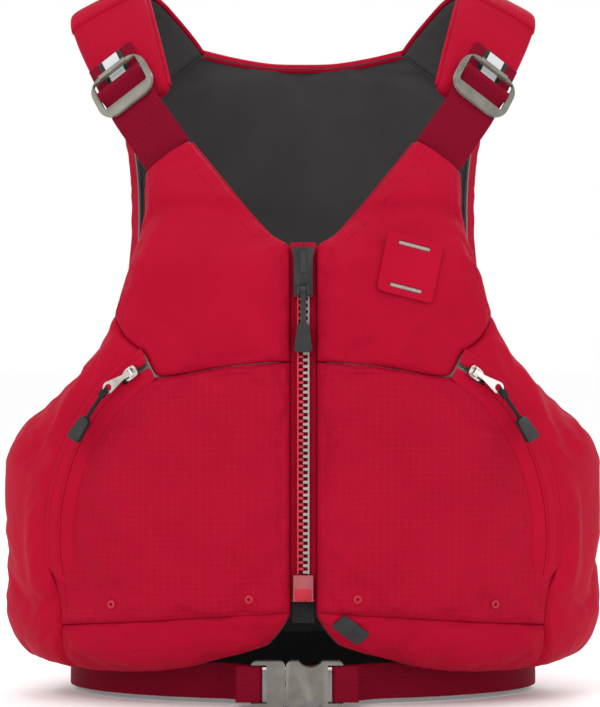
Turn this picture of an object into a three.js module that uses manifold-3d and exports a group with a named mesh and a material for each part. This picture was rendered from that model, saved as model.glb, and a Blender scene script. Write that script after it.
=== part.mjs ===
// A paddler's front-zip life jacket in its worn shape: two foam front panels that swing open like doors, a
// foam back, padded shoulders with strap adjusters, a moulded-tooth main zip, two curved pocket zips and a
// buckled waist belt.
// Millimetres, +Z up, the wearer faces -Y, +X is the wearer's left. The origin is on the torso's centre line,
// level with the waist buckle's underside.
import * as THREE from "three";
import { mergeVertices } from "three/addons/utils/BufferGeometryUtils.js";
import Module from "manifold-3d";

const wasm = await Module();
wasm.setup();

// ---------------------------------------------------------------- driving dimensions
const GAP = 0.3; // clearance between touching pieces
const DEG = Math.PI / 180;

// waist belt and its side-release buckle
const BELT_WIDTH = 25.4;
const WEB = 1.6; // webbing thickness
const BUCKLE = { rail: 3.3, thick: 10, body: 40, lock: 24, wall: 2, slot: 11, barRadius: 1.8, corner: 4 };
const BUCKLE_HEIGHT = BELT_WIDTH + 2 * BUCKLE.rail;
const BELT_HEIGHT = BUCKLE_HEIGHT / 2 + 0.5; // middle of the belt
const BELT_INSET = 2.2; // belt's middle inside the lining
const BELT_STANDOFF = 12; // belt's middle in front of the torso at the buckle

// the torso that the jacket is cut to fit
const TORSO_HALF_WIDTH = 172;
const CHEST_DEPTH = 105; // centre line to the chest
const BACK_DEPTH = 100; // centre line to the back
const SHOULDER_TOP = 507; // crest of a shoulder pad's neck side
const SHOULDER_SLOPE = 0.52; // fall per millimetre outwards
const NECK_ROUNDING = 30;

// Heights are measured up from the front hem, which covers the belt's top edge, or down from the shoulders.
const HEM_OVERLAP = 7.2;
const HEM = BELT_HEIGHT + BELT_WIDTH / 2 - HEM_OVERLAP;
const rise = (distance) => HEM + distance;
const down = (distance) => SHOULDER_TOP - distance;
const CHEST_BREAK = down(257); // where the chest starts to lean back to the shoulder
const BACK_BREAK = down(177);
const BACK_HEM = rise(-18); // the back covers the belt
const ZIP_CORNER = down(189); // lower end of the neckline
const ARMHOLE_LOW = down(329);
const BACK_ARMHOLE_LOW = down(317);
const NECK_LOW = down(45);

// cloth and foam
const CLOTH = 1.6; // shell cloth with its seam allowance
const LINING = 1.4;
const FRONT_THICK = 45;
const FRONT_TOP_THICK = 12;
const BACK_THICK = 21;
const PAD_THICK = 12;
const POCKET_CLOTH = 1.6;
const GUSSET = { from: 2, to: 5 }; // off the torso

// panel edges, as angles round the torso in degrees: 0 the zip, 90 the wearer's left side, 180 the spine
const CENTRE_EDGE = 2.75;
const SIDE_EDGE = 88;
const BACK_SIDE_EDGE = 118;
const PAD_TOP_ANGLE = 41.5; // neck side of a pad at its crest

// shoulder strap and its adjuster
const STRAP_WIDTH = 38;
const ADJUSTER = { length: 35, sideBar: 4.2, lowBar: 9, topBar: 3, crossBar: 1.7, thick: 2.6, corner: 12 };
const ADJUSTER_AT = { angle: 45, height: down(74) };
const CROSSBAR_OUT = 6; // crossbar above the pad
const ANCHOR_LENGTH = 27;
const REFLECTIVE_WIDTH = 13;

// main zip
const ZIP_BOTTOM = rise(72); // top of the box, where the teeth begin
const ZIP_TOP = ZIP_CORNER - 16; // last tooth
const CENTRE_EDGE_SHARE = 0.74; // share of the front's thickness that is left at its centre edge
const ZIP_STANDOFF = FRONT_THICK * CENTRE_EDGE_SHARE - 4.3; // tape in front of the torso
const TAPE = 1.2;
const TOOTH = { pitch: 4.4, wide: 3.4, tall: 1.9, deep: 3.2, overlap: 0.2, bead: 1.2 };
const SLIDER = { length: 34, width: 13, mouth: 16, plate: 1.6, channel: 4.6, wall: 1.4 };
const PULL = { pin: 1.5, length: 30, width: 4, thick: 2, hang: 29 };
const GRIP = { length: 20, top: 8, bottom: 12.5, thick: 4.5, bite: 7 };
const ZIP_BOX = { width: 14, depth: 5.2, height: 18, wall: 1.5 };
const GUARD = { width: 16, thick: 1.4, foot: rise(38) };

// A pocket zip runs on an arc in a plane of its own, which rests on the shell at two angles round the torso.
const POCKET_PLANE = { from: 31, to: 52.5, lift: 1 };
const POCKET_ARC = { radius: 136.5, along: -62, height: rise(95), from: -8, to: 62, slider: 57 };
const POCKET_TAPE_WIDTH = 20;
const TAPE_FOOT = 0.9; // tape's underside above the plane
const COIL = { wide: 5, proud: 1.4 };
const POCKET_SLIDER = { length: 11, width: 8, thick: 3, corner: 2.5, pinAt: 1.5, pinUp: 1.6 };
const TAB = { length: 24, width: 8.5, thick: 1.6, hole: 2.6, pin: 0.95, tilt: 6 };
const PULL_CORD = { length: 30, radius: 1.5, turn: -22 };
const POCKET_GRIP = { length: 18, top: 7.5, bottom: 10, thick: 5, bite: 4 };
const POCKET_FOOT = rise(41);
const POCKET_HEAD = rise(214);

// fittings on the front panels
const ON_SHELL = 1; // clear of the shell's facets
const EYELET = { bore: 1.1, radius: 3, proud: 1.1 };
const EYELET_AT = { inner: { angle: 10.6, height: rise(56) }, outer: { angle: 40, height: rise(50) } };
const LASH = { width: 40, tall: 42, thick: 2.2, slot: 23, slotTall: 3.4, slotAt: 15, turn: -14 };
const LASH_AT = { angle: 21.2, height: down(206) };
const PATCH = { width: 24, tall: 14, thick: 1.6, turn: -45 };
const PATCH_AT = { angle: 9.6, height: rise(34.5) };

// ---------------------------------------------------------------- the torso surface
const { lerp, clamp, smoothstep } = THREE.MathUtils;
const acrossAt = (angle) => TORSO_HALF_WIDTH * Math.sin(angle * DEG);
const crest = (x) =>
  SHOULDER_TOP -
  SHOULDER_SLOPE * (Math.hypot(x, NECK_ROUNDING) - Math.hypot(acrossAt(PAD_TOP_ANGLE), NECK_ROUNDING));

function depthAt(front, x, z) {
  const start = front ? CHEST_BREAK : BACK_BREAK;
  const lean = clamp((z - start) / (crest(x) - start), 0, 1);
  return (front ? CHEST_DEPTH : BACK_DEPTH) * Math.sqrt(1 - lean * lean);
}

// A point of the lining at an angle round the torso and a height.
function torso(angle, z) {
  const x = acrossAt(angle);
  const forward = Math.cos(angle * DEG);
  return new THREE.Vector3(x, -forward * depthAt(forward > 0, x, z), z);
}

// A point over the shoulder at an angle round the torso; turn goes from the back (0) over the crest (90).
function shoulder(angle, turn) {
  const front = turn > 90;
  const start = front ? CHEST_BREAK : BACK_BREAK;
  const x = acrossAt(angle);
  const depth = (front ? CHEST_DEPTH : BACK_DEPTH) * Math.cos(turn * DEG) * Math.cos(angle * DEG);
  return new THREE.Vector3(x, depth, start + (crest(x) - start) * Math.sin(turn * DEG));
}

function normalOf(surface, u, v, du = 0.05, dv = 0.5) {
  const a = surface(u + du, v).sub(surface(u - du, v));
  const b = surface(u, v + dv).sub(surface(u, v - dv));
  return a.cross(b).normalize();
}

const off = (surface, u, v, h) => surface(u, v).addScaledVector(normalOf(surface, u, v), h);

// ---------------------------------------------------------------- solids
function signedVolume(points, index) {
  let sum = 0;
  for (let i = 0; i < index.length; i += 3) {
    const [a, b, c] = [points[index[i]], points[index[i + 1]], points[index[i + 2]]];
    sum += a.dot(b.clone().cross(c)) / 6;
  }
  return sum;
}

// A closed sheet between two grids of points, one over the other, with the same rows and columns.
function gridSolid(top, bottom) {
  const rows = top.length;
  const columns = top[0].length;
  const points = [...top.flat(), ...bottom.flat()];
  const at = (layer, i, j) => layer * rows * columns + i * columns + j;
  const index = [];
  const quad = (a, b, c, d) => index.push(a, b, c, a, c, d);
  for (let i = 0; i < rows - 1; i++)
    for (let j = 0; j < columns - 1; j++) {
      quad(at(0, i, j), at(0, i, j + 1), at(0, i + 1, j + 1), at(0, i + 1, j));
      quad(at(1, i, j), at(1, i + 1, j), at(1, i + 1, j + 1), at(1, i, j + 1));
    }
  for (let j = 0; j < columns - 1; j++) {
    quad(at(1, 0, j), at(1, 0, j + 1), at(0, 0, j + 1), at(0, 0, j));
    quad(at(0, rows - 1, j), at(0, rows - 1, j + 1), at(1, rows - 1, j + 1), at(1, rows - 1, j));
  }
  for (let i = 0; i < rows - 1; i++) {
    quad(at(0, i, 0), at(0, i + 1, 0), at(1, i + 1, 0), at(1, i, 0));
    quad(at(1, i, columns - 1), at(1, i + 1, columns - 1), at(0, i + 1, columns - 1), at(0, i, columns - 1));
  }
  if (signedVolume(points, index) < 0)
    for (let i = 0; i < index.length; i += 3) [index[i + 1], index[i + 2]] = [index[i + 2], index[i + 1]];
  return new THREE.BufferGeometry().setFromPoints(points).setIndex(index);
}

function solidOf(geometry) {
  const bare = geometry.clone();
  bare.deleteAttribute("normal");
  bare.deleteAttribute("uv");
  const merged = mergeVertices(bare, 1e-4);
  const vertProperties = new Float32Array(merged.attributes.position.array);
  return new wasm.Manifold(
    new wasm.Mesh({ numProp: 3, vertProperties, triVerts: new Uint32Array(merged.index.array) }),
  );
}

function geometryOf(solid) {
  const mesh = solid.getMesh();
  const geometry = new THREE.BufferGeometry();
  geometry.setAttribute("position", new THREE.BufferAttribute(new Float32Array(mesh.vertProperties), 3));
  return geometry.setIndex(Array.from(mesh.triVerts));
}

const joined = (...parts) => geometryOf(parts.map(solidOf).reduce((a, b) => a.add(b)));
const cut = (body, ...tools) => geometryOf(tools.map(solidOf).reduce((a, b) => a.subtract(b), solidOf(body)));
const block = (w, d, h, x = 0, y = 0, z = 0) => new THREE.BoxGeometry(w, d, h).translate(x, y, z);
const rodX = (radius, length, x = 0, y = 0, z = 0) =>
  new THREE.CylinderGeometry(radius, radius, length, 16).rotateZ(Math.PI / 2).translate(x, y, z);

// A flat plate in the XY plane, half its thickness to each side unless it has a foot.
function plate(outline, thick, foot = -thick / 2, curveSegments = 4) {
  const options = { depth: thick, bevelEnabled: false, curveSegments };
  return new THREE.ExtrudeGeometry(outline, options).translate(0, 0, foot);
}

// The same plate facing forwards, in the XZ plane.
const facing = (outline, thick) => plate(outline, thick).rotateX(Math.PI / 2);

function roundedRectangle(w, h, r, target = new THREE.Shape(), cx = 0, cy = 0) {
  const [x, y] = [cx - w / 2, cy - h / 2];
  target.moveTo(x + r, y);
  target.absarc(x + w - r, y + r, r, -Math.PI / 2, 0);
  target.absarc(x + w - r, y + h - r, r, 0, Math.PI / 2);
  target.absarc(x + r, y + h - r, r, Math.PI / 2, Math.PI);
  return target.absarc(x + r, y + r, r, Math.PI, 1.5 * Math.PI);
}

function polygon(points) {
  return new THREE.Shape(points.map(([x, y]) => new THREE.Vector2(x, y)));
}

// ---------------------------------------------------------------- patterns
const curve = (points) => new THREE.SplineCurve(points.map(([u, v]) => new THREE.Vector2(u, v)));

// Curves end to end as one side of a patch, walked by length.
function side(...parts) {
  const path = new THREE.CurvePath();
  parts.forEach((points) => path.add(curve(points)));
  return (t) => path.getPointAt(clamp(t, 0, 1));
}

// A four-sided patch: bottom and top run from the first side to the second.
function pattern({ bottom, top, first, second }) {
  const corners = [bottom(0), bottom(1), top(0), top(1)];
  return (u, v) => {
    const weights = [(1 - u) * (1 - v), u * (1 - v), (1 - u) * v, u * v];
    const p = bottom(u).multiplyScalar(1 - v).addScaledVector(top(u), v);
    p.addScaledVector(first(v), 1 - u).addScaledVector(second(v), u);
    return corners.reduce((sum, corner, i) => sum.addScaledVector(corner, -weights[i]), p);
  };
}

const MM_PER_DEGREE = 2.45; // along the torso's side
const toMm = (p) => new THREE.Vector2(p.x * MM_PER_DEGREE, p.y);

function distanceTo(sideCurve, count = 40) {
  const samples = Array.from({ length: count + 1 }, (_, i) => toMm(sideCurve(i / count)));
  return (p) => Math.min(...samples.map((s) => s.distanceTo(p)));
}

// Rounds a panel down to a share of its thickness within a radius of an edge.
const rounding = (share, radius) => (d) =>
  share + (1 - share) * Math.sqrt(1 - (1 - Math.min(d / radius, 1)) ** 2);

// A value that changes smoothly between [height, value] stops.
const profile = (stops) => (z) => {
  const i = stops.findIndex(([at]) => z < at);
  if (i === 0) return stops[0][1];
  if (i < 0) return stops[stops.length - 1][1];
  const [[a, va], [b, vb]] = [stops[i - 1], stops[i]];
  return lerp(va, vb, smoothstep(z, a, b));
};

const STEPS_ACROSS = [0, 0.03, 0.09, 0.2, 0.36, 0.52, 0.68, 0.83, 0.93, 1];
const BACK_STEPS = [0, 0.03, 0.1, 0.2, 0.328, 0.42, 0.5, 0.58, 0.672, 0.8, 0.9, 0.97, 1];
const STEPS_UP = [0, 0.025, 0.07, 0.14, 0.24, 0.35, 0.46, 0.57, 0.68, 0.78, 0.87, 0.94, 1];

// A foam panel as three nested pieces on one grid: an open cloth tray, the foam in it and the lining.
function panelLayers({ outline, thickness, edges, steps = STEPS_ACROSS }) {
  const map = pattern(outline);
  const reach = Object.keys(edges).map((name) => ({
    distance: distanceTo(outline[name]),
    round: rounding(...edges[name]),
  }));
  const height = (p) => reach.reduce((h, r) => h * r.round(r.distance(toMm(p))), thickness(p.x, p.y));
  const span = (a, b) => toMm(a).distanceTo(toMm(b));
  const layer = (inset, heightOf) =>
    STEPS_UP.map((v) =>
      steps.map((u) => {
        const fromSide = inset / span(map(0, v), map(1, v));
        const fromEnd = inset / span(map(u, 0), map(u, 1));
        const p = map(lerp(fromSide, 1 - fromSide, u), lerp(fromEnd, 1 - fromEnd, v));
        return off(torso, p.x, p.y, heightOf(height(map(u, v))));
      }),
    );
  const inside = CLOTH + 2.2;
  const tray = gridSolid(layer(0, (h) => h), layer(0, () => 0));
  const hollow = gridSolid(layer(CLOTH, (h) => h - CLOTH), layer(CLOTH, () => -1));
  return {
    shell: cut(tray, hollow),
    foam: gridSolid(layer(inside, (h) => h - CLOTH - 2 * GAP), layer(inside, () => LINING + GAP)),
    lining: gridSolid(layer(inside, () => LINING), layer(inside, () => 0)),
    height,
  };
}

// ---------------------------------------------------------------- front panel
const hemStart = [8, rise(21)];
const hemEnd = [SIDE_EDGE, rise(9)];
const centreFoot = [CENTRE_EDGE, rise(54)];
const centreTop = [CENTRE_EDGE, ZIP_CORNER];
const underArm = [SIDE_EDGE, ARMHOLE_LOW];
const strapEnd = { neck: [27, down(114)], arm: [38, down(136)] };
const neckline = [centreTop, [6.5, down(183)], [12, down(166)], [20.5, down(136)], strapEnd.neck];
const armhole = [
  underArm,
  [78, down(311)],
  [63, down(292)],
  [52, down(270)],
  [45.5, down(249)],
  [41.5, down(222)],
  [38.5, down(192)],
  [37.3, down(162)],
  strapEnd.arm,
];
const hem = [
  hemStart,
  [14, rise(15)],
  [20, rise(10.5)],
  [28, rise(4)],
  [42, HEM],
  [62, HEM],
  [80, rise(3)],
  hemEnd,
];
const centreBend = [hemStart, [5, rise(32)], [CENTRE_EDGE + 0.1, rise(44)], centreFoot];
const frontOutline = {
  bottom: side(hem),
  top: side([strapEnd.neck, strapEnd.arm]),
  first: side(centreBend, [centreFoot, centreTop], neckline),
  second: side([hemEnd, underArm], armhole),
};
const frontThickness = profile([
  [down(207), FRONT_THICK],
  [down(162), 0.6 * FRONT_THICK],
  [down(107), FRONT_TOP_THICK],
]);

// The pocket zip's plane: along runs outwards round the ribs, out leaves the jacket.
const pocketPlane = (() => {
  const [a, b] = [POCKET_PLANE.from, POCKET_PLANE.to].map((angle) => off(torso, angle, HEM, FRONT_THICK));
  const along = b.sub(a).normalize();
  const out = along.clone().cross(new THREE.Vector3(0, 0, 1));
  return { origin: a.addScaledVector(out, POCKET_PLANE.lift).setZ(0), along, out };
})();
const FLAT_BAND = { half: 16, fade: 18 }; // shell beside the zip that follows the plane

function frontHeight(angle, z) {
  const plain = frontThickness(z);
  const base = torso(angle, z);
  const normal = normalOf(torso, angle, z);
  const flat = -base.clone().sub(pocketPlane.origin).dot(pocketPlane.out) / normal.dot(pocketPlane.out);
  const surface = base.addScaledVector(normal, plain);
  const along = surface.sub(pocketPlane.origin).dot(pocketPlane.along) - POCKET_ARC.along;
  const up = z - POCKET_ARC.height;
  const turn = clamp(Math.atan2(up, along), POCKET_ARC.from * DEG, POCKET_ARC.to * DEG);
  const [arcX, arcY] = [POCKET_ARC.radius * Math.cos(turn), POCKET_ARC.radius * Math.sin(turn)];
  const away = Math.hypot(along - arcX, up - arcY);
  return lerp(flat, plain, smoothstep(away, FLAT_BAND.half, FLAT_BAND.half + FLAT_BAND.fade));
}

const front = panelLayers({
  outline: frontOutline,
  thickness: frontHeight,
  edges: { first: [CENTRE_EDGE_SHARE, 14], second: [0.5, 26], bottom: [0.3, 40], top: [0.8, 8] },
});

// ---------------------------------------------------------------- back panel
const backHem = [BACK_SIDE_EDGE, BACK_HEM];
const backUnderArm = [BACK_SIDE_EDGE, BACK_ARMHOLE_LOW];
const padJoint = { arm: [130, down(83)], neck: [154, down(36)] };
const backSide = [backHem, backUnderArm];
const backArmhole = [
  backUnderArm,
  [121, down(285)],
  [127, down(249)],
  [132.5, down(207)],
  [134, down(157)],
  [133, down(115)],
  padJoint.arm,
];
const backNeck = [padJoint.neck, [163, NECK_LOW + 4], [172, NECK_LOW + 0.5], [180, NECK_LOW]];
const joint = [padJoint.arm, padJoint.neck];
const opposite = (points) => points.map(([angle, z]) => [360 - angle, z]);
const back = panelLayers({
  outline: {
    bottom: side([backHem, [180, BACK_HEM], ...opposite([backHem])]),
    top: side(joint, backNeck, opposite(backNeck).reverse(), opposite(joint).reverse()),
    first: side(backSide, backArmhole),
    second: side(opposite(backSide), opposite(backArmhole)),
  },
  thickness: (angle, z) =>
    profile([
      [rise(98), BACK_THICK - 6],
      [rise(178), BACK_THICK],
      [down(107), BACK_THICK],
      [down(67), PAD_THICK + 2],
    ])(z),
  edges: { first: [0.55, 16], second: [0.55, 16], bottom: [0.5, 18], top: [0.7, 9] },
  steps: BACK_STEPS,
});

// ---------------------------------------------------------------- shoulder pads and side gussets
// A pad starts along the back panel's joint: across is 0 at the neck and 1 at the arm.
function padStart(across) {
  const p = curve(joint).getPoint(1 - across);
  const lean = (p.y + 0.5 - BACK_BREAK) / (crest(acrossAt(p.x)) - BACK_BREAK);
  return new THREE.Vector2(180 - p.x, Math.asin(lean) / DEG);
}
const padEdge = {
  neck: side([padStart(0).toArray(), [35, 66], [PAD_TOP_ANGLE, 90], [39, 114], [32.8, 138]]),
  arm: side([padStart(1).toArray(), [66.7, 60], [74.5, 90], [68.3, 112], [50.3, 140]]),
};

function padPoint(across, along, h) {
  const p = padEdge.neck(along).lerp(padEdge.arm(along), across);
  const straight = padStart(0).lerp(padStart(1), across);
  p.addScaledVector(padStart(across).sub(straight), (1 - along) ** 3);
  return off(shoulder, p.x, p.y, -h);
}

function shoulderPad() {
  const across = [0, 0.06, 0.2, 0.5, 0.8, 0.94, 1];
  const along = Array.from({ length: 13 }, (_, i) => i / 12);
  const bulge = (s, t) => rounding(0.6, 0.2)(Math.min(s, 1 - s)) * rounding(0.8, 0.06)(1 - t);
  const sheet = (heightOf) => along.map((t) => across.map((s) => padPoint(s, t, heightOf(s, t))));
  return gridSolid(sheet((s, t) => PAD_THICK * bulge(s, t)), sheet(() => 0));
}

function sideGusset() {
  const play = 0.15; // degrees to each panel's edge
  const steps = Array.from({ length: 7 }, (_, i) => i / 6);
  const sheet = (h) =>
    steps.map((t) =>
      steps.map((s) => {
        const low = lerp(rise(13), BACK_HEM + 5, s);
        const high = lerp(ARMHOLE_LOW - 12, BACK_ARMHOLE_LOW - 6, s);
        return off(torso, lerp(SIDE_EDGE + play, BACK_SIDE_EDGE - play, s), lerp(low, high, t), h);
      }),
    );
  return gridSolid(sheet(GUSSET.to), sheet(GUSSET.from));
}

// ---------------------------------------------------------------- pieces on a front panel
// The pocket's cloth, from the zip's welt to the centre and from the drain hem to the yoke seam.
function pocketPanel() {
  const foot = [[7, POCKET_FOOT + 4], [25, POCKET_FOOT + 1], [47.5, POCKET_FOOT - 1]];
  const head = [[7, POCKET_HEAD], [17, POCKET_HEAD - 2], [27, POCKET_HEAD - 5]];
  const welt = [foot[2], [48, rise(78)], [46, rise(120)], [41.5, rise(156)], [34.5, rise(187)], head[2]];
  const centre = [foot[0], head[0]];
  const map = pattern({ bottom: side(foot), top: side(head), first: side(centre), second: side(welt) });
  const steps = (n) => Array.from({ length: n + 1 }, (_, i) => i / n);
  const sheet = (lift) =>
    steps(10).map((v) =>
      steps(8).map((u) => {
        const p = map(u, v);
        return off(torso, p.x, p.y, front.height(p) + lift);
      }),
    );
  return gridSolid(sheet(ON_SHELL + POCKET_CLOTH), sheet(ON_SHELL));
}

const pocketCloth = pocketPanel();
const outside = [front.shell, pocketCloth].map((geometry) => new THREE.Mesh(geometry));

// A frame on the outside of the left front: z leaves the jacket, y points up along it, turned by spin. Its
// origin is lifted just clear of all that lies under a piece of that size.
function onFront({ angle, height }, { width, tall }, spin = 0) {
  const surface = (u, v) => off(torso, u, v, front.height(new THREE.Vector2(u, v)));
  const out = normalOf(surface, angle, height, 1.5, 4);
  const up = new THREE.Vector3(0, 0, 1).addScaledVector(out, -out.z).normalize();
  const frame = new THREE.Matrix4()
    .makeBasis(up.clone().cross(out), up, out)
    .setPosition(surface(angle, height))
    .multiply(new THREE.Matrix4().makeRotationZ(spin * DEG));
  const above = 30;
  const ray = new THREE.Raycaster();
  let nearest = Infinity;
  for (let i = -4; i <= 4; i++)
    for (let j = -4; j <= 4; j++) {
      const from = new THREE.Vector3((i * width) / 9, (j * tall) / 9, above).applyMatrix4(frame);
      ray.set(from, out.clone().negate());
      nearest = Math.min(nearest, ray.intersectObjects(outside)[0]?.distance ?? Infinity);
    }
  return frame.multiply(new THREE.Matrix4().makeTranslation(0, 0, above - nearest + GAP));
}

function drainEyelet() {
  const { bore, radius, proud } = EYELET;
  const ring = [[bore, 0], [radius, 0], [radius, 0.6], [radius - 0.8, proud], [bore, proud - 0.2], [bore, 0]];
  return new THREE.LatheGeometry(ring.map(([r, h]) => new THREE.Vector2(r, h)), 16).rotateX(Math.PI / 2);
}

function lashTab() {
  const outline = roundedRectangle(LASH.width, LASH.tall, 4);
  for (const y of [LASH.slotAt, -LASH.slotAt])
    outline.holes.push(roundedRectangle(LASH.slot, LASH.slotTall, 1.6, new THREE.Path(), 0, y));
  return plate(outline, LASH.thick, 0);
}

const cornerPatch = () => plate(roundedRectangle(PATCH.width, PATCH.tall, 3), PATCH.thick, 0);

// ---------------------------------------------------------------- main zip
const tapeY = -(CHEST_DEPTH + ZIP_STANDOFF);
const teethY = tapeY - TAPE / 2 - GAP - TOOTH.deep / 2;

function zipTape() {
  const outer = off(torso, CENTRE_EDGE, ZIP_BOTTOM, ZIP_STANDOFF).x - GAP;
  const [low, high] = [ZIP_BOTTOM - 19, ZIP_CORNER + 3];
  return block(outer - GAP, TAPE, high - low, (outer + GAP) / 2, tapeY, (high + low) / 2);
}

// One row of teeth on its bead; the other row is half a pitch off, so that the heads pass between each other.
function zipTeeth(shift) {
  const beadX = TOOTH.wide - TOOTH.overlap + TOOTH.bead / 2 - 0.1;
  const bead = block(TOOTH.bead, TOOTH.deep, ZIP_TOP - ZIP_BOTTOM, beadX, teethY, (ZIP_TOP + ZIP_BOTTOM) / 2);
  const teeth = [];
  for (let z = ZIP_BOTTOM + TOOTH.tall / 2 + 0.4 + shift; z < ZIP_TOP - TOOTH.tall / 2; z += TOOTH.pitch)
    teeth.push(block(TOOTH.wide, TOOTH.deep, TOOTH.tall, TOOTH.wide / 2 - TOOTH.overlap, teethY, z));
  return joined(bead, ...teeth);
}

const zipStop = () => block(TOOTH.wide - 0.2, TOOTH.deep, 4, TOOTH.wide / 2 + 1.1, teethY, ZIP_TOP + 2 + GAP);

function zipGuard() {
  const height = ZIP_CORNER - GUARD.foot;
  const y = tapeY + TAPE / 2 + GAP + GUARD.thick / 2;
  return block(GUARD.width, GUARD.thick, height, 0, y, GUARD.foot + height / 2);
}

// The slider, from its middle: a front plate that widens at the mouth, side walls, a bridge and two lugs for
// the pull. The tapes close its back.
const sliderFrame = new THREE.Matrix4().makeTranslation(0, teethY, ZIP_CORNER - SLIDER.length / 2);
const pullFrame = new THREE.Matrix4().makeTranslation(
  0,
  teethY - SLIDER.channel / 2 - SLIDER.plate - 2.4,
  ZIP_CORNER - PULL.hang,
);

function zipSlider() {
  const { length, width, mouth, channel, plate: face, wall } = SLIDER;
  const half = [[width / 2, -length / 2], [width / 2, length / 4], [mouth / 2, length / 2]];
  const outline = polygon([...half, ...half.map(([x, z]) => [-x, z]).reverse()]);
  const frontY = -channel / 2;
  const pull = new THREE.Vector3().setFromMatrixPosition(sliderFrame.clone().invert().multiply(pullFrame));
  const plateFace = facing(outline, face).translate(0, frontY - face / 2, 0);
  const wallX = (width - wall) / 2;
  const walls = [1, -1].map((s) => block(wall, channel - 0.4, length * 0.7, s * wallX, -0.7, -0.15 * length));
  const lugs = [1, -1].map((s) => block(1.6, 6.8, 7, s * 3.4, pull.y + 0.6, pull.z));
  const bridge = block(4, 3, 15, 0, frontY - face - 1.4, 7);
  return cut(joined(plateFace, ...walls, ...lugs, bridge), rodX(PULL.pin + GAP, 12, 0, pull.y, pull.z));
}

function zipPullLink() {
  const length = PULL.length - 4;
  return joined(rodX(PULL.pin, 8), rodX(2.2, 4.6), block(PULL.width, PULL.thick, length, 0, 0, -length / 2));
}

// A rubber grip that hangs from its top edge in the XY plane.
function grip({ length, top, bottom, thick }) {
  const half = [[top / 2 - 1.5, 0], [top / 2, -1.5], [bottom / 2, 1.5 - length], [bottom / 2 - 1.5, -length]];
  return plate(polygon([...half, ...half.map(([x, y]) => [-x, y]).reverse()]), thick);
}

const zipPullGrip = () =>
  cut(
    grip(GRIP).rotateX(Math.PI / 2).translate(0, 0, GRIP.bite - PULL.length),
    block(PULL.width + 2 * GAP, PULL.thick + 2 * GAP, 8, 0, 0, GRIP.bite - PULL.length + 0.6),
  );

// The box on the wearer's right tape is open at the top; the left tape's pin stands in it.
const boxY = teethY - 1;
const boxZ = ZIP_BOTTOM - 0.7 - ZIP_BOX.height / 2;
function zipBox() {
  const { width, depth, height, wall } = ZIP_BOX;
  const well = block(width - 2 * wall, depth - 1.6, height, 0, boxY, boxZ + wall);
  return cut(block(width, depth, height, 0, boxY, boxZ), well);
}
const zipPin = () => block(3, ZIP_BOX.depth - 2.2, ZIP_BOX.height - 3, 3.2, boxY, boxZ + ZIP_BOX.wall);

// ---------------------------------------------------------------- pocket zip
// In its plane's frame: x along the ribs, y up, z out of the jacket.
const pocketFrame = new THREE.Matrix4()
  .makeBasis(pocketPlane.along, new THREE.Vector3(0, 0, 1), pocketPlane.out)
  .setPosition(pocketPlane.origin);

function arcBand(width, play, foot, thick) {
  const { radius, along, height, from, to } = POCKET_ARC;
  const ends = [(from + play) * DEG, (to - play) * DEG];
  const outline = new THREE.Shape();
  outline.absarc(along, height, radius + width / 2, ends[0], ends[1], false);
  outline.absarc(along, height, radius - width / 2, ends[1], ends[0], true);
  return plate(outline, thick, foot, 16);
}

const pocketZipTape = () =>
  joined(
    arcBand(POCKET_TAPE_WIDTH, 0, TAPE_FOOT, TAPE),
    arcBand(COIL.wide, 1, TAPE_FOOT + TAPE / 3, COIL.proud + TAPE - TAPE / 3),
  );

// What rides the zip points down it (-y) from the slider's middle.
const pocketSliderFrame = new THREE.Matrix4()
  .makeTranslation(
    POCKET_ARC.along + POCKET_ARC.radius * Math.cos(POCKET_ARC.slider * DEG),
    POCKET_ARC.height + POCKET_ARC.radius * Math.sin(POCKET_ARC.slider * DEG),
    TAPE_FOOT + TAPE + COIL.proud + GAP,
  )
  .multiply(new THREE.Matrix4().makeRotationZ(POCKET_ARC.slider * DEG));
const tabFrame = new THREE.Matrix4()
  .makeTranslation(0, POCKET_SLIDER.pinAt, POCKET_SLIDER.thick + POCKET_SLIDER.pinUp)
  .multiply(new THREE.Matrix4().makeRotationX(-TAB.tilt * DEG));
const tabEnd = TAB.width / 2 - TAB.length; // centre of the tab's round end and its hole
const cordFrame = new THREE.Matrix4()
  .makeTranslation(0, tabEnd, 0)
  .multiply(new THREE.Matrix4().makeRotationZ(PULL_CORD.turn * DEG));

function pocketSlider() {
  const { length, width, thick, corner, pinAt, pinUp } = POCKET_SLIDER;
  const body = plate(roundedRectangle(width, length, corner), thick, 0);
  const lugs = [1, -1].map((s) => block(1.2, 4, 3.2, s * 2.6, pinAt, thick + 1.4));
  return cut(joined(body, ...lugs), rodX(TAB.pin + 0.2, 9, 0, pinAt, thick + pinUp));
}

function pocketPullTab() {
  const blade = polygon([[-1.7, -7]]);
  blade.lineTo(-TAB.width / 2, tabEnd);
  blade.absarc(0, tabEnd, TAB.width / 2, Math.PI, 2 * Math.PI);
  blade.lineTo(1.7, -7);
  blade.holes.push(new THREE.Path().absarc(0, tabEnd, TAB.hole, 0, 2 * Math.PI));
  return joined(rodX(TAB.pin, 6.2), block(3.4, 9, TAB.thick, 0, -4.5, 0), plate(blade, TAB.thick));
}

const cordLift = TAB.thick / 2 + PULL_CORD.radius + GAP;
function pocketPullCord() {
  const section = new THREE.Shape().absarc(0, 0, PULL_CORD.radius, 0, 2 * Math.PI);
  const ends = [0, -PULL_CORD.length].map((y) => new THREE.Vector3(0, y, cordLift));
  const extrudePath = new THREE.LineCurve3(...ends);
  const options = { steps: 10, extrudePath, curveSegments: 4, bevelEnabled: false };
  const knot = block(4.4, 5, 2 * PULL_CORD.radius, 0, -5.5, cordLift);
  return joined(new THREE.ExtrudeGeometry(section, options), knot);
}

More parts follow.
